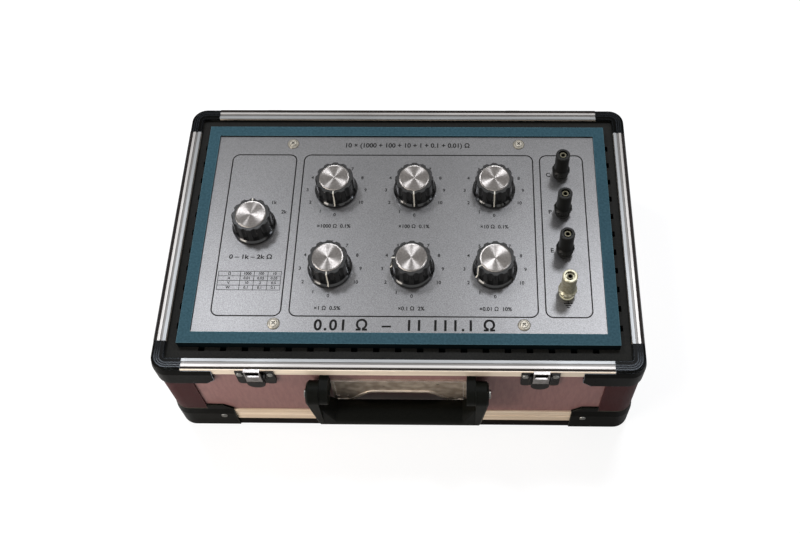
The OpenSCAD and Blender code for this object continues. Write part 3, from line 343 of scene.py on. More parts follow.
finishes = {
    # Bead-blasted, clear anodised aluminium sheet: an even grey with a fine sparkle.
    # The blast is finer than 0.3 mm; it is drawn at 0.8 mm so that it shows.
    "beadBlastedAluminium": {
        "light": "#706F6F", "dark": "#585757", "grain": 0.8, "metallic": 0.75, "roughness": (0.34, 0.38),
        "relief": 0.2, "depth": 0.15, "detail": 3.0, "uneven": 0.05, "cloud": 90},
    # Extruded aluminium, natural anodised: pale, satin, with long die lines
    "extrudedAluminium": {
        "light": "#F6F6F6", "dark": "#DADADA", "grain": 0.9, "metallic": 0.85, "roughness": (0.36, 0.44),
        "stretch": (0.01, 1.0, 1.0), "relief": 0.2, "depth": 0.05, "uneven": 0.08},
    # Extruded aluminium, champagne anodised: the same die lines under a warm tint
    "champagneAluminium": {
        "light": "#F6E3CC", "dark": "#D8BFA2", "grain": 0.9, "metallic": 0.3, "roughness": (0.32, 0.42),
        "stretch": (0.01, 1.0, 1.0), "relief": 0.2, "depth": 0.05, "uneven": 0.10},
    # Extruded strip of black rubber filling the groove below the rail's nose, standing in for that groove's
    # shade: dead matt, faintly mottled
    "blackGrooveStrip": {
        "light": "#3A3432", "dark": "#2A2523", "grain": 1.2, "roughness": (0.7, 0.8), "specular": 0.12,
        "stretch": (0.2, 1.0, 1.0), "relief": 0.15, "depth": 0.08, "uneven": 0.2},
    # Sprayed enamel on steel sheet: teal, half gloss, with a slight orange peel and a painted highlight
    # along its edges
    "tealEnamel": {
        "light": "#3B5964", "dark": "#324E58", "grain": 2.2, "roughness": (0.42, 0.54), "specular": 0.03,
        "relief": 0.12, "depth": 0.12, "uneven": 0.10, "edge": "#6E95A0", "edgeWidth": 0.7},
    # Injection-moulded ABS, black, spark-eroded mould: satin, with painted highlights along the front edges
    "mouldedABS": {
        "light": "#0B0B0A", "dark": "#070706", "grain": 1.0, "roughness": (0.24, 0.34), "specular": 0.02,
        "relief": 0.12, "depth": 0.08, "uneven": 0.15, "edge": "#B9C2CE", "edgeWidth": 0.9,
        "edgeFade": (-124, -146)},
    # The same plastic on the foot castings, with a dimmer painted highlight on their edges
    "footABS": {
        "light": "#0C0C0A", "dark": "#070706", "grain": 1.0, "roughness": (0.30, 0.42), "specular": 0.02,
        "relief": 0.12, "depth": 0.08, "uneven": 0.15, "edge": "#5E5F57", "edgeWidth": 0.8},
    # The same plastic with a coarse mould grain, for the floor tray
    "grainedABS": {
        "light": "#0D0807", "dark": "#080504", "grain": 1.4, "roughness": (0.50, 0.62), "specular": 0.03,
        "relief": 0.3, "depth": 0.15, "uneven": 0.12},
    # Matt black polypropylene strip with a notched lip
    "mattPolypropylene": {
        "light": "#1F1E1B", "dark": "#141412", "grain": 1.6, "roughness": (0.55, 0.7), "specular": 0.12,
        "relief": 0.2, "depth": 0.12, "uneven": 0.15},
    # Mauve laminate pressed on board: smooth, with a faint upright brush in the film
    "pressedLaminate": {
        "light": "#86625F", "dark": "#7C5957", "grain": 2.5, "roughness": (0.36, 0.48), "specular": 0.2,
        "stretch": (1.0, 1.0, 0.2), "relief": 0.04, "depth": 0.05, "uneven": 0.14, "cloud": 120},
    # Powder-coated corner profile: burgundy, satin, finely pebbled
    "burgundyCoat": {
        "light": "#3C1C1D", "dark": "#301516", "grain": 1.3, "roughness": (0.42, 0.54), "specular": 0.05,
        "relief": 0.2, "depth": 0.1, "uneven": 0.16, "edge": "#6A4748", "edgeWidth": 0.6},
    # Zinc-plated steel screws: bright grey with small tonal patches
    "zincPlatedSteel": {
        "light": "#8F8E8A", "dark": "#6A6966", "grain": 1.2, "metallic": 1.0, "roughness": (0.30, 0.42),
        "relief": 0.1, "depth": 0.05, "uneven": 0.15},
    # Nickel-plated cup washers and cross-recessed screws: dulled, with painted shade in the recesses
    "dulledNickel": {
        "light": "#A39E93", "dark": "#837D72", "grain": 1.5, "metallic": 0.8, "roughness": (0.36, 0.48),
        "relief": 0.05, "depth": 0.05, "uneven": 0.12, "crevice": "#1E1815", "creviceReach": 2.2},
    # Turned studs of the binding posts: dark nickel, with painted shade inside the sockets
    "darkNickel": {
        "light": "#625E50", "dark": "#45412F", "grain": 1.2, "metallic": 0.8, "roughness": (0.40, 0.52),
        "relief": 0.05, "depth": 0.05, "uneven": 0.2, "crevice": "#15130F", "creviceReach": 2.0},
    # Nickel-plated washers and hinges, barrel polished
    "polishedNickel": {
        "light": "#B4AFA2", "dark": "#928C7E", "grain": 1.5, "metallic": 1.0, "roughness": (0.18, 0.28),
        "relief": 0.05, "depth": 0.05, "uneven": 0.12},
    # Bright chrome on pressed steel: mirror smooth, slightly rippled by the press, with painted shade in
    # its recesses
    "brightChrome": {
        "light": "#8E8A88", "dark": "#6A6664", "grain": 5.0, "metallic": 1.0, "roughness": (0.28, 0.36),
        "relief": 0.25, "depth": 0.3, "uneven": 0.15, "crevice": "#0E0B0B", "creviceReach": 2.5},
    # Chrome plate behind the handle, tinted warm grey, with a painted highlight on its edges
    "warmGreyChrome": {
        "light": "#E9D8C4", "dark": "#C6B4A1", "grain": 8.0, "metallic": 0.6, "roughness": (0.16, 0.26),
        "relief": 0.9, "depth": 1.1, "detail": 0.6, "uneven": 0.2, "cloud": 30, "edge": "#FFFFFF",
        "edgeWidth": 1.3},
    # Compression-moulded phenolic, buffed to a gloss: very dark, sharp highlights
    "buffedPhenolic": {
        "light": "#0E0E0F", "dark": "#090909", "grain": 2.0, "roughness": (0.12, 0.17), "specular": 0.6,
        "relief": 0.05, "depth": 0.05, "uneven": 0.2},
    # Turned aluminium disc: grooves round the centre fan the light into bright wedges
    "spunAluminium": {
        "light": "#807C79", "dark": "#706C69", "grain": 2.0, "metallic": 1.0, "roughness": (0.29, 0.31),
        "relief": 0.02, "depth": 0.02, "uneven": 0.05, "anisotropic": 1.0},
    # Moulded black plastic of the binding posts, dulled by handling
    "dulledPlastic": {
        "light": "#141412", "dark": "#0C0C0B", "grain": 1.2, "roughness": (0.34, 0.46), "specular": 0.15,
        "relief": 0.1, "depth": 0.06, "uneven": 0.2, "edge": "#4A4842", "edgeWidth": 0.5},
    # Nickel plate on turned brass, a little yellowed
    "yellowedNickel": {
        "light": "#B5B19C", "dark": "#8E886F", "grain": 2.5, "metallic": 0.5, "roughness": (0.34, 0.46),
        "relief": 0.08, "depth": 0.05, "uneven": 0.14},
    # Turned brass, bright
    "turnedBrass": {
        "light": "#D9C48C", "dark": "#B59B5E", "grain": 0.8, "metallic": 1.0, "roughness": (0.22, 0.32),
        "stretch": (1.0, 1.0, 6.0), "relief": 0.1, "depth": 0.04, "uneven": 0.12},
    # Stoved black enamel on pressed steel
    "blackEnamel": {
        "light": "#0A0808", "dark": "#060505", "grain": 1.4, "roughness": (0.22, 0.34), "specular": 0.06,
        "relief": 0.1, "depth": 0.06, "uneven": 0.15, "edge": "#4C4744", "edgeWidth": 0.5},
    # Soft-touch PVC moulded over the handle: nearly matt, faint bloom
    "mouldedPVC": {
        "light": "#0D0E0B", "dark": "#080906", "grain": 1.6, "roughness": (0.40, 0.52), "specular": 0.05,
        "relief": 0.16, "depth": 0.1, "uneven": 0.2, "edge": "#1E201D", "edgeWidth": 1.0},
    # Zinc-coated sheet steel of the chassis: large soft spangles
    "galvanisedSheet": {
        "light": "#B4B4AE", "dark": "#8C8C87", "grain": 9.0, "metallic": 0.9, "roughness": (0.34, 0.5),
        "relief": 0.05, "depth": 0.05, "uneven": 0.1},
    # Paper-based phenolic sheet, sawn and punched: brown with a fibrous grain
    "punchedPhenolic": {
        "light": "#9A7F55", "dark": "#7A6038", "grain": 1.0, "roughness": (0.5, 0.62), "specular": 0.35,
        "stretch": (0.3, 1.0, 1.0), "relief": 0.15, "depth": 0.08, "uneven": 0.15},
    # Vitreous enamel over a wound resistor: brown-red, glossy, ribbed by the wire
    "vitreousEnamel": {
        "light": "#8A4528", "dark": "#66301C", "grain": 0.8, "roughness": (0.18, 0.28), "specular": 0.5,
        "stretch": (0.2, 0.2, 3.0), "relief": 0.4, "depth": 0.2, "uneven": 0.15},
    # Ground steel shaft
    "groundSteel": {
        "light": "#C2C2BE", "dark": "#A2A29E", "grain": 0.5, "metallic": 1.0, "roughness": (0.2, 0.3),
        "stretch": (1.0, 1.0, 5.0), "relief": 0.08, "depth": 0.03, "uneven": 0.08},
    # Screen-printed epoxy ink, black: dry and slightly uneven
    "blackInk": {
        "light": "#1C1A19", "dark": "#121110", "grain": 0.7, "roughness": (0.6, 0.7), "specular": 0.1,
        "relief": 0.05, "depth": 0.02, "uneven": 0.15},
    # White filler paint wiped into the pointer groove
    "whiteFiller": {
        "light": "#E6E2D8", "dark": "#C9C4B8", "grain": 1.0, "roughness": (0.5, 0.6), "specular": 0.3,
        "relief": 0.1, "depth": 0.04, "uneven": 0.12},
}

made = {name: surface(name, look) for name, look in finishes.items()}


# What single materials get beyond that, by the place on the object

def openMaterial(material):
    # A finished material's tree and shader, and the object's place taken apart along X, Y and Z
    tree = material.node_tree
    place = tree.nodes["Texture Coordinate"].outputs["Object"]
    apart = addNode(tree, "ShaderNodeSeparateXYZ", {0: place})
    return tree, tree.nodes["shader"], apart.outputs


def recolour(tree, shader, share, colour, **settings):
    # Lays a colour over the one that the material has so far
    old = shader.inputs["Base Color"].links[0].from_socket
    tree.links.new(mixNode(tree, share, old, colour, **settings), shader.inputs["Base Color"])


def spinGrooves(material):
    # Anisotropy follows the lathe: its direction runs round each disc's own axis
    tree = material.node_tree
    around = addNode(tree, "ShaderNodeTangent", direction_type="RADIAL", axis="Z")
    tree.links.new(around.outputs[0], tree.nodes["shader"].inputs["Tangent"])


sideRails = 190.0   # mm from the middle, beyond which only the left and right rails lie


def grainAlong(material):
    # The die lines run along each rail: on the left and right ones X and Y change places
    tree, _, place = openMaterial(material)
    aside = mathNode(tree, "GREATER_THAN", mathNode(tree, "ABSOLUTE", place["X"]), sideRails * mm)
    turned = addNode(tree, "ShaderNodeCombineXYZ", {"X": place["Y"], "Y": place["X"], "Z": place["Z"]})
    straight = tree.nodes["Texture Coordinate"].outputs["Object"]
    along = addNode(tree, "ShaderNodeMix", {
        0: aside, 4: straight, 5: turned.outputs[0]}, data_type="VECTOR")
    tree.links.new(along.outputs[1], tree.nodes["Mapping"].inputs["Vector"])


railLook = {
    # The bands are painted shade and reflection: dark on the thin outer lip and in the groove, a lighter
    # outer land and a darker inner land
    "bands": (   # mm in from the rail's outer face, and the tone from there on
        (0.0, "#2E2C2A"), (0.9, "#2E2C2A"), (1.0, "#AAA6A2"), (5.9, "#AAA6A2"),
        (6.1, "#666360"), (8.0, "#666360"), (8.3, "#8E8F8F"), (12.0, "#8E8F8F")),
    "lip": 0.9,                # mm in from the front that the front lip reaches
    "flange": (0.9, 1.3),      # mm below the rail's top over which the flange's tint sets in
    "flangeTone": "#FFEDD6",
    "metallic": (0.65, 0.15),  # on the bands, and on the front lip and the flange
}


def railTints(material):
    # Painted shade in the rail's groove and along its thin outer lip, and painted lighter and darker lands;
    # the flange below the lip is tinted warm cream and made less metallic
    tree, shader, place = openMaterial(material)
    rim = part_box("rim_rails")[1]
    inward = []
    for axis, edge in (("X", rim.x), ("Y", rim.y)):
        size = mathNode(tree, "ABSOLUTE", place[axis])
        inward.append(mathNode(tree, "SUBTRACT", edge, size))
    nearest = mathNode(tree, "MINIMUM", *inward)
    width = railLook["bands"][-1][0] * mm
    bands = addNode(tree, "ShaderNodeValToRGB", {"Fac": mathNode(tree, "DIVIDE", nearest, width)})
    stops = bands.color_ramp.elements
    while len(stops) < len(railLook["bands"]):
        stops.new(1.0)
    for stop, (reach, hexText) in zip(stops, railLook["bands"]):
        stop.position = reach * mm / width
        stop.color = tone(hexText)
    start, end = railLook["flange"]
    lower = rangeNode(tree, place["Z"], rim.z - start * mm, rim.z - end * mm)
    frontLip = mathNode(tree, "LESS_THAN", place["Y"], railLook["lip"] * mm - rim.y)
    outside = mathNode(tree, "MAXIMUM", lower, frontLip)
    banded = mixNode(tree, outside, bands.outputs[0], tone(railLook["flangeTone"]))
    bare = rangeNode(tree, outside, 0.0, 1.0, *railLook["metallic"])
    tree.links.new(bare, shader.inputs["Metallic"])
    recolour(tree, shader, 1.0, banded, blend_type="MULTIPLY")


skirtShadeLook = {
    "tone": "#0A1114",
    "reach": (0.5, 0.9),   # mm below the frame's top over which the painted shade sets in
}


def darkSkirt(material):
    # The painted frame's top is coloured; its turned-down edge gets painted shade, near black
    tree, shader, place = openMaterial(material)
    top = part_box("panel_frame")[1].z
    start, end = skirtShadeLook["reach"]
    lower = rangeNode(tree, place["Z"], top - start * mm, top - end * mm)
    recolour(tree, shader, lower, tone(skirtShadeLook["tone"]))


collarLook = {
    "plated": "#A8A48E",
    "border": -50.0,   # mm: collars in front of this place are plated
}


def platedFront(material):
    # One node holds the four collars: those in front of the border are plated metal
    tree, shader, place = openMaterial(material)
    front = mathNode(tree, "LESS_THAN", place["Y"], collarLook["border"] * mm)
    recolour(tree, shader, front, tone(collarLook["plated"]))
    tree.links.new(front, shader.inputs["Metallic"])


archShade = {
    "colour": "#1E1316",
    "share": 0.85,           # most that it covers
    "side": 10.0,            # mm over which it fades out at the ends
    "below": 8.0,            # mm that it reaches below the plate
    "above": (30.0, 24.0),   # mm over the plate's foot between which it sets in, behind the plate
}


def grimeUnderArch(material):
    # Painted shade on the board in the opening below the handle plate's arch, where the handle shades it
    tree, shader, place = openMaterial(material)
    low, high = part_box("handle_plate")
    none, full = archShade["above"]
    share = archShade["share"]
    for value, start, end in (
            (mathNode(tree, "ABSOLUTE", place["X"]), high.x, high.x - archShade["side"] * mm),
            (place["Z"], low.z - archShade["below"] * mm, low.z),
            (place["Z"], low.z + none * mm, low.z + full * mm)):
        share = mathNode(tree, "MULTIPLY", share, rangeNode(tree, value, start, end))
    recolour(tree, shader, share, tone(archShade["colour"]))


spinGrooves(made["spunAluminium"])
for name in ("extrudedAluminium", "champagneAluminium", "blackGrooveStrip"):
    grainAlong(made[name])
railTints(made["extrudedAluminium"])
# The front board's laminate, with painted shade where the handle hangs over it
made["shadedLaminate"] = surface("shadedLaminate", finishes["pressedLaminate"])
grimeUnderArch(made["shadedLaminate"])
darkSkirt(made["tealEnamel"])
# Collars of the posts: three of moulded plastic, the front one nickel-plated
made["mouldedOrPlatedCollar"] = surface("mouldedOrPlatedCollar", finishes["dulledPlastic"])
platedFront(made["mouldedOrPlatedCollar"])
print("finishes made:", len(made))

plainDress = {
    "base_tray": "grainedABS",
    "front_panel": "shadedLaminate",
    "back_panel": "pressedLaminate",
    "end_panels": "pressedLaminate",
    "corner_profiles": "burgundyCoat",
    "rim_rails": "extrudedAluminium",
    "rim_seals": "blackGrooveStrip",
    "rim_corners": "mouldedABS",
    "base_strips": "champagneAluminium",
    "base_corners": "footABS",
    "case_screws": "zincPlatedSteel",
    "inner_frame": "mattPolypropylene",
    "panel_frame": "tealEnamel",
    "chassis": "galvanisedSheet",
    "instrument_panel": "beadBlastedAluminium",
    "panel_screws": "dulledNickel",
    "panel_nuts": "turnedBrass",
    "switches": "punchedPhenolic",
    "decade_resistors": "vitreousEnamel",
    "post_bases": "mouldedOrPlatedCollar",
    "post_studs": "darkNickel",
    "latch_plates": "blackEnamel",
    "handle_brackets": "mouldedPVC",
    "handle_plate": "warmGreyChrome",
    "handle_grip": "mouldedPVC",
    "handle_pins": "zincPlatedSteel",
    "hinge_leaves": "polishedNickel",
}
decades = range(1, 7)
posts = range(1, 5)
knobs = ["range_knob"] + [f"decade_knob_{i}" for i in decades]
caps = ["range_knob_cap"] + [f"decade_knob_cap_{i}" for i in decades]
shafts = ["range_shaft"] + [f"decade_shaft_{i}" for i in decades]
plainDress.update({name: "buffedPhenolic" for name in knobs})
plainDress.update({name: "spunAluminium" for name in caps})
plainDress.update({name: "groundSteel" for name in shafts})
plainDress.update({f"post_cap_{i}": "yellowedNickel" if i == 4 else "dulledPlastic" for i in posts})
plainDress.update({f"post_washer_{i}": "polishedNickel" for i in posts})
plainDress.update({f"latch_lever_{i}": "blackEnamel" for i in (1, 2)})
plainDress.update({f"latch_claw_{i}": "brightChrome" for i in (1, 2)})
for name, finish in plainDress.items():
    dress(name, made[finish])
print("CAD nodes dressed:", len(plainDress), "of", len(nodes))


# Geometry Nodes trees for what repeats: dial numbers, printed borders and ruled lines

def newTree(name, sockets):
    tree = bpy.data.node_groups.new(name, "GeometryNodeTree")
    for label, kind in sockets:
        tree.interface.new_socket(label, in_out="INPUT", socket_type=kind)
    tree.interface.new_socket("Geometry", in_out="OUTPUT", socket_type="NodeSocketGeometry")
    return tree, addNode(tree, "NodeGroupInput")


def closeTree(tree, geometry, ink):
    real = addNode(tree, "GeometryNodeRealizeInstances", {0: geometry})
    coloured = addNode(tree, "GeometryNodeSetMaterial", {"Geometry": real.outputs[0], "Material": ink})
    addNode(tree, "NodeGroupOutput", {0: coloured.outputs[0]})


def frozen(holder):
    # A helper object's finished shape as a plain mesh; the helper goes
    scene.collection.objects.link(holder)
    graph = bpy.context.evaluated_depsgraph_get()
    mesh = bpy.data.meshes.new_from_object(holder.evaluated_get(graph))
    bpy.data.objects.remove(holder)
    return mesh


def growMesh(tree, values):
    # Evaluates a tree on an empty mesh
    holder = bpy.data.objects.new("holder", bpy.data.meshes.new("holder"))
    modifier = holder.modifiers.new("grow", "NODES")
    modifier.node_group = tree
    for item in tree.interface.items_tree:
        if item.in_out == "INPUT" and item.name in values:
            modifier[item.identifier] = values[item.name]
    return frozen(holder)


def dialNumbersTree():
    # A ring of numbers, clockwise from 6 o'clock, taken in order from a collection
    tree, given = newTree("dialNumbers", [
        ("Count", "NodeSocketInt"), ("Radius", "NodeSocketFloat"), ("Step", "NodeSocketFloat"),
        ("Centre", "NodeSocketVector"), ("Numbers", "NodeSocketCollection"), ("Ink", "NodeSocketMaterial")])
    order = addNode(tree, "GeometryNodeInputIndex").outputs[0]
    angle = mathNode(tree, "MULTIPLY", order, given.outputs["Step"])
    back = mathNode(tree, "MULTIPLY", given.outputs["Radius"], -1.0)
    ring = addNode(tree, "ShaderNodeCombineXYZ", {
        "X": mathNode(tree, "MULTIPLY", mathNode(tree, "SINE", angle), back),
        "Y": mathNode(tree, "MULTIPLY", mathNode(tree, "COSINE", angle), back)}).outputs[0]
    place = addNode(tree, "ShaderNodeVectorMath", {
        0: ring, 1: given.outputs["Centre"]}, operation="ADD").outputs[0]
    dots = addNode(tree, "GeometryNodePoints", {
        "Count": given.outputs["Count"], "Position": place}).outputs[0]
    numbers = addNode(tree, "GeometryNodeCollectionInfo", {
        "Collection": given.outputs["Numbers"], "Separate Children": True,
        "Reset Children": True}).outputs[0]
    placed = addNode(tree, "GeometryNodeInstanceOnPoints", {
        "Points": dots, "Instance": numbers, "Pick Instance": True, "Instance Index": order}).outputs[0]
    closeTree(tree, placed, given.outputs["Ink"])
    return tree


def borderTree():
    # A line round a rectangle with rounded corners
    tree, given = newTree("printedBorder", [
        ("Width", "NodeSocketFloat"), ("Depth", "NodeSocketFloat"), ("Corner", "NodeSocketFloat"),
        ("Steps", "NodeSocketInt"), ("Line", "NodeSocketFloat"), ("Film", "NodeSocketFloat"),
        ("Centre", "NodeSocketVector"), ("Ink", "NodeSocketMaterial")])
    frameLine = addNode(tree, "GeometryNodeCurvePrimitiveQuadrilateral", {
        "Width": given.outputs["Width"], "Height": given.outputs["Depth"]}, mode="RECTANGLE").outputs[0]
    rounded = addNode(tree, "GeometryNodeFilletCurve", {
        "Curve": frameLine, "Count": given.outputs["Steps"],
        "Radius": given.outputs["Corner"]}, mode="POLY").outputs[0]
    profile = addNode(tree, "GeometryNodeCurvePrimitiveQuadrilateral", {
        "Width": given.outputs["Line"], "Height": given.outputs["Film"]}, mode="RECTANGLE").outputs[0]
    tube = addNode(tree, "GeometryNodeCurveToMesh", {"Curve": rounded, "Profile Curve": profile}).outputs[0]
    moved = addNode(tree, "GeometryNodeTransform", {
        "Geometry": tube, "Translation": given.outputs["Centre"]}).outputs[0]
    closeTree(tree, moved, given.outputs["Ink"])
    return tree


def ruledLinesTree():
    # Equal bars at a pitch, from a start
    tree, given = newTree("ruledLines", [
        ("Count", "NodeSocketInt"), ("Pitch", "NodeSocketVector"), ("Start", "NodeSocketVector"),
        ("Bar", "NodeSocketVector"), ("Ink", "NodeSocketMaterial")])
    row = addNode(tree, "GeometryNodeMeshLine", {
        "Count": given.outputs["Count"], "Start Location": given.outputs["Start"],
        "Offset": given.outputs["Pitch"]}, mode="OFFSET").outputs[0]
    bar = addNode(tree, "GeometryNodeMeshCube", {"Size": given.outputs["Bar"]}).outputs[0]
    placed = addNode(tree, "GeometryNodeInstanceOnPoints", {"Points": row, "Instance": bar}).outputs[0]
    closeTree(tree, placed, given.outputs["Ink"])
    return tree


# Print on the instrument panel. Lengths are in mm, and places are from the middle of the case.

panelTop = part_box("instrument_panel")[1].z
printing = {
    "film": 0.06,         # thickness of the ink
    "line": 1.2,
    "corner": 7.0,        # radius of the borders' corners
    "cornerSteps": 10,
    "borders": ((-174.5, -109.8), (-102.0, 128.4), (135.5, 178.5)),  # left and right edges
    "borderReach": (-92.6, 87.0),                                    # front and back edges
    "dialRadius": 28.8,
    "dialStep": 30.0,     # degrees
    "dialCount": 11,
    "dialSize": 4.8,
    "bold": 0.025,        # share of the letter size by which each stroke is widened
}
ink = made["blackInk"]


def spot(x, y, lift=0.0):
    # A place on the panel in metres, from mm
    return Vector((x * mm, y * mm, panelTop + lift * mm))


def letters(text, size, spacing=1.0):
    # Bold lettering round the origin, a film thick
    curve = bpy.data.curves.new("writing", "FONT")
    curve.body = text
    curve.size = size * mm
    curve.align_x = "CENTER"
    curve.align_y = "CENTER"
    curve.space_character = spacing
    curve.extrude = printing["film"] * mm / 2
    curve.offset = printing["bold"] * size * mm
    return frozen(bpy.data.objects.new("writing", curve))


def writing(text, x, y, size, stretch=1.0, spacing=1.0):
    mesh = letters(text, size, spacing)
    place = spot(x, y, printing["film"] / 2)
    mesh.transform(Matrix.Translation(place) @ Matrix.Diagonal((stretch, 1.0, 1.0, 1.0)))
    return mesh


def printedBars(tree, x, y, width, depth, count=1, pitch=0.0):
    # A printed bar, or several at a pitch towards the front
    thick = printing["film"]
    return growMesh(tree, {
        "Count": count, "Pitch": Vector((0, -pitch * mm, 0)), "Start": spot(x, y, thick / 2),
        "Bar": Vector((width, depth, thick)) * mm, "Ink": ink})


def printBorders():
    tree = borderTree()
    front, back = printing["borderReach"]
    meshes = []
    for left, right in printing["borders"]:
        meshes.append(growMesh(tree, {
            "Width": (right - left) * mm, "Depth": (back - front) * mm,
            "Corner": printing["corner"] * mm, "Steps": printing["cornerSteps"],
            "Line": printing["line"] * mm, "Film": printing["film"] * mm,
            "Centre": spot((left + right) / 2, (front + back) / 2, printing["film"] / 2), "Ink": ink}))
    newPiece("printed_borders", meshes, ink, "case")


def printDials():
    tree = dialNumbersTree()
    numbers = bpy.data.collections.new("numbers")
    for i in range(printing["dialCount"]):
        mesh = letters(str(i), printing["dialSize"])
        numbers.objects.link(bpy.data.objects.new(f"number{i:02d}", mesh))
    meshes = []
    for i in decades:
        centre = middle(f"decade_knob_{i}") / mm
        meshes.append(growMesh(tree, {
            "Count": printing["dialCount"], "Radius": printing["dialRadius"] * mm,
            "Step": math.radians(printing["dialStep"]), "Numbers": numbers,
            "Centre": spot(centre.x, centre.y, printing["film"] / 2), "Ink": ink}))
    for number in list(numbers.objects):
        bpy.data.meshes.remove(number.data)
    bpy.data.collections.remove(numbers)
    newPiece("dial_numbers", meshes, ink, "case")


printBorders()
printDials()
print("borders and dial numbers printed")

labels = {
    "decadeDrop": 41.6,      # mm from a dial's centre forward to its label
    "decadeSize": 5.4,
    "decades": ("×1000 Ω  0.1%", "×100 Ω  0.1%", "×10 Ω  0.1%",
                "×1 Ω  0.5%", "×0.1 Ω  2%", "×0.01 Ω  10%"),
    "rangeRadius": 31.5,
    "rangeMarks": ((31, "1k"), (59, "2k")),   # degrees clockwise from 12 o'clock
    "rangeCaption": "0 – 1k – 2k Ω",
    "rangeDrop": 34.0,
    "rangeSize": 6.4,
    "rangeStretch": 1.15,
    "posts": (("C", 143.4, 63.6), ("P", 143.6, 20.4), ("E", 143.8, -22.5)),
    "postSize": 6.5,
    "span": "0.01 Ω  –  11 111.1 Ω",
    "spanPlace": (5.5, -102.0),
    "spanSize": 15.0,
    "spanSpacing": 1.22,
    "sum": "10 × (1000 + 100 + 10 + 1 + 0.1 + 0.01) Ω",
    "sumPlace": (1.5, 98.8),
    "sumSize": 7.3,
}


def printLabels():
    meshes = []
    for i, text in zip(decades, labels["decades"]):
        centre = middle(f"decade_knob_{i}") / mm
        meshes.append(writing(text, centre.x, centre.y - labels["decadeDrop"], labels["decadeSize"]))
    centre = middle("range_knob") / mm
    for degrees, text in labels["rangeMarks"]:
        angle = math.radians(degrees)
        x = centre.x + labels["rangeRadius"] * math.sin(angle)
        y = centre.y + labels["rangeRadius"] * math.cos(angle)
        meshes.append(writing(text, x, y, labels["decadeSize"]))
    meshes.append(writing(
        labels["rangeCaption"], centre.x, centre.y - labels["rangeDrop"], labels["rangeSize"],
        stretch=labels["rangeStretch"]))
    for text, x, y in labels["posts"]:
        meshes.append(writing(text, x, y, labels["postSize"]))
    meshes.append(writing(
        labels["span"], *labels["spanPlace"], labels["spanSize"], spacing=labels["spanSpacing"]))
    meshes.append(writing(labels["sum"], *labels["sumPlace"], labels["sumSize"]))
    newPiece("panel_lettering", meshes, ink, "case")


currentTable = {
    "left": -172.4,
    "back": -46.5,
    "rowPitch": 4.9,
    "columns": (0.0, 21.0, 34.0, 47.0, 59.5),   # upright lines, from the left one
    "line": 0.5,
    "size": 3.8,
    "rows": (("Ω", "1000", "100", "10"), ("A", "0.01", "0.02", "0.05"),
             ("V", "10", "2", "0.5"), ("W", "0.1", "0.1", "0.1")),
}


def printTable():
    tree = ruledLinesTree()
    left, back, pitch = currentTable["left"], currentTable["back"], currentTable["rowPitch"]
    columns, rows = currentTable["columns"], currentTable["rows"]
    width = columns[-1]
    depth = len(rows) * pitch
    line = currentTable["line"]
    meshes = [printedBars(tree, left + width / 2, back, width, line, len(rows) + 1, pitch)]
    for x in columns:
        meshes.append(printedBars(tree, left + x, back - depth / 2, line, depth))
    for r, row in enumerate(rows):
        y = back - (r + 0.5) * pitch
        for text, start, end in zip(row, columns, columns[1:]):
            meshes.append(writing(text, left + (start + end) / 2, y, currentTable["size"]))
    newPiece("printed_table", meshes, ink, "case")


earthMark = {
    "x": 156.3,
    "stem": (-69.0, -78.0),
    "bars": ((-78.3, 8.0), (-80.4, 5.2), (-82.4, 2.4)),   # place and length
    "line": 0.9,
}


def printEarthMark():
    tree = ruledLinesTree()
    back, front = earthMark["stem"]
    x, line = earthMark["x"], earthMark["line"]
    meshes = [printedBars(tree, x, (back + front) / 2, line, back - front)]
    meshes += [printedBars(tree, x, y, length, line) for y, length in earthMark["bars"]]
    newPiece("earth_mark", meshes, ink, "case")


printLabels()
printTable()
printEarthMark()
print("labels, table and earth mark printed")


# Pointer line down the side of each knob, laid on the CAD knob's own surface

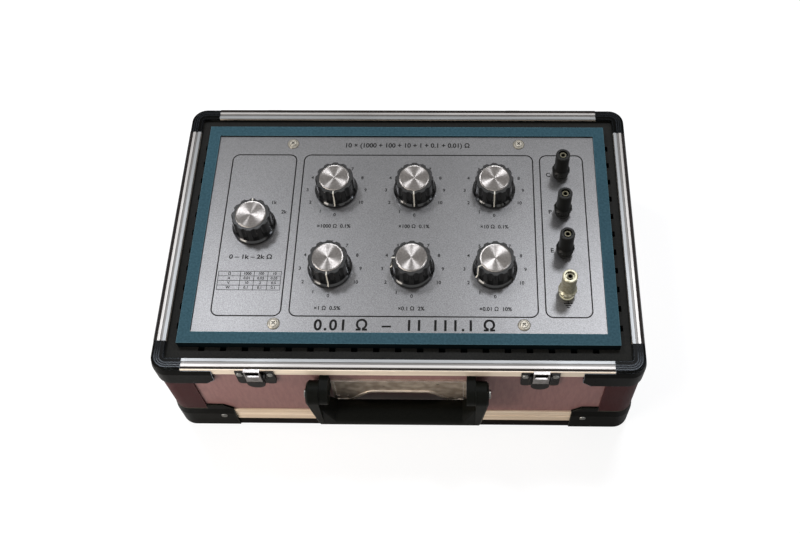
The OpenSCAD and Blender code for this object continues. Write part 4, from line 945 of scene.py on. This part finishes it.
pointer = {
    "width": 1.5,           # mm at the knob's surface
    "taper": 0.8,           # share of that width on the line's top
    "proud": 0.12,
    "sunk": 0.5,            # mm that the line reaches into the knob
    "steps": 26,
    "fromCap": 0.3,         # mm from the cap's edge out to the start of the line
    "fromRim": 0.15,        # mm from the skirt's edge in to its end
    "above": 20.0,          # mm above the knob from which its surface is felt for
    "rangeRest": 180,       # degrees clockwise from 6 o'clock, seen from above, at rest
    "rest": (0, 0, 0, 0, 90, 60),
}


def pointerPath(knob, out):
    # Places and face directions from the cap out to the skirt's edge, on the CAD knob's surface
    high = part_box(knob)[1]
    centre = middle(knob)
    tree = BVHTree.FromObject(nodes[knob], bpy.context.evaluated_depsgraph_get())
    cap = knob.replace("knob", "knob_cap")
    start = (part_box(cap)[1] - middle(cap)).x + pointer["fromCap"] * mm
    end = high.x - centre.x - pointer["fromRim"] * mm
    path = []
    for i in range(pointer["steps"] + 1):
        reach = out * (start + (end - start) * (i / pointer["steps"]))
        above = Vector((centre.x, centre.y, high.z + pointer["above"] * mm)) + reach
        found, normal = tree.ray_cast(above, Vector((0, 0, -1)))[:2]
        if found:
            flat = Vector((normal.dot(out), 0, normal.z)).normalized()
            lift = out * flat.x + Vector((0, 0, flat.z))
            path.append((Vector((centre.x, centre.y, found.z)) + reach, lift))
    return path


def addPointer(knob, clockwise):
    angle = math.radians(-90 - clockwise)
    out = Vector((math.cos(angle), math.sin(angle), 0))
    side = Vector((-out.y, out.x, 0)) * pointer["width"] * mm / 2
    mesh = bmesh.new()
    rings = []
    for base, lift in pointerPath(knob, out):
        top = base + lift * pointer["proud"] * mm
        under = base - lift * pointer["sunk"] * mm
        narrow = side * pointer["taper"]
        rings.append([mesh.verts.new(p) for p in (
            under - side, under + side, top + narrow, top - narrow)])
    for a, b in zip(rings, rings[1:]):
        for k in range(4):
            mesh.faces.new((a[k], b[k], b[(k + 1) % 4], a[(k + 1) % 4]))
    mesh.faces.new(rings[0])
    mesh.faces.new(list(reversed(rings[-1])))
    bmesh.ops.recalc_face_normals(mesh, faces=mesh.faces)
    data = bpy.data.meshes.new("pointer")
    mesh.to_mesh(data)
    mesh.free()
    newPiece(knob + "_pointer", [data], made["whiteFiller"], knob)


addPointer("range_knob", pointer["rangeRest"])
for i, clockwise in zip(decades, pointer["rest"]):
    addPointer(f"decade_knob_{i}", clockwise)
print("pointer lines laid")
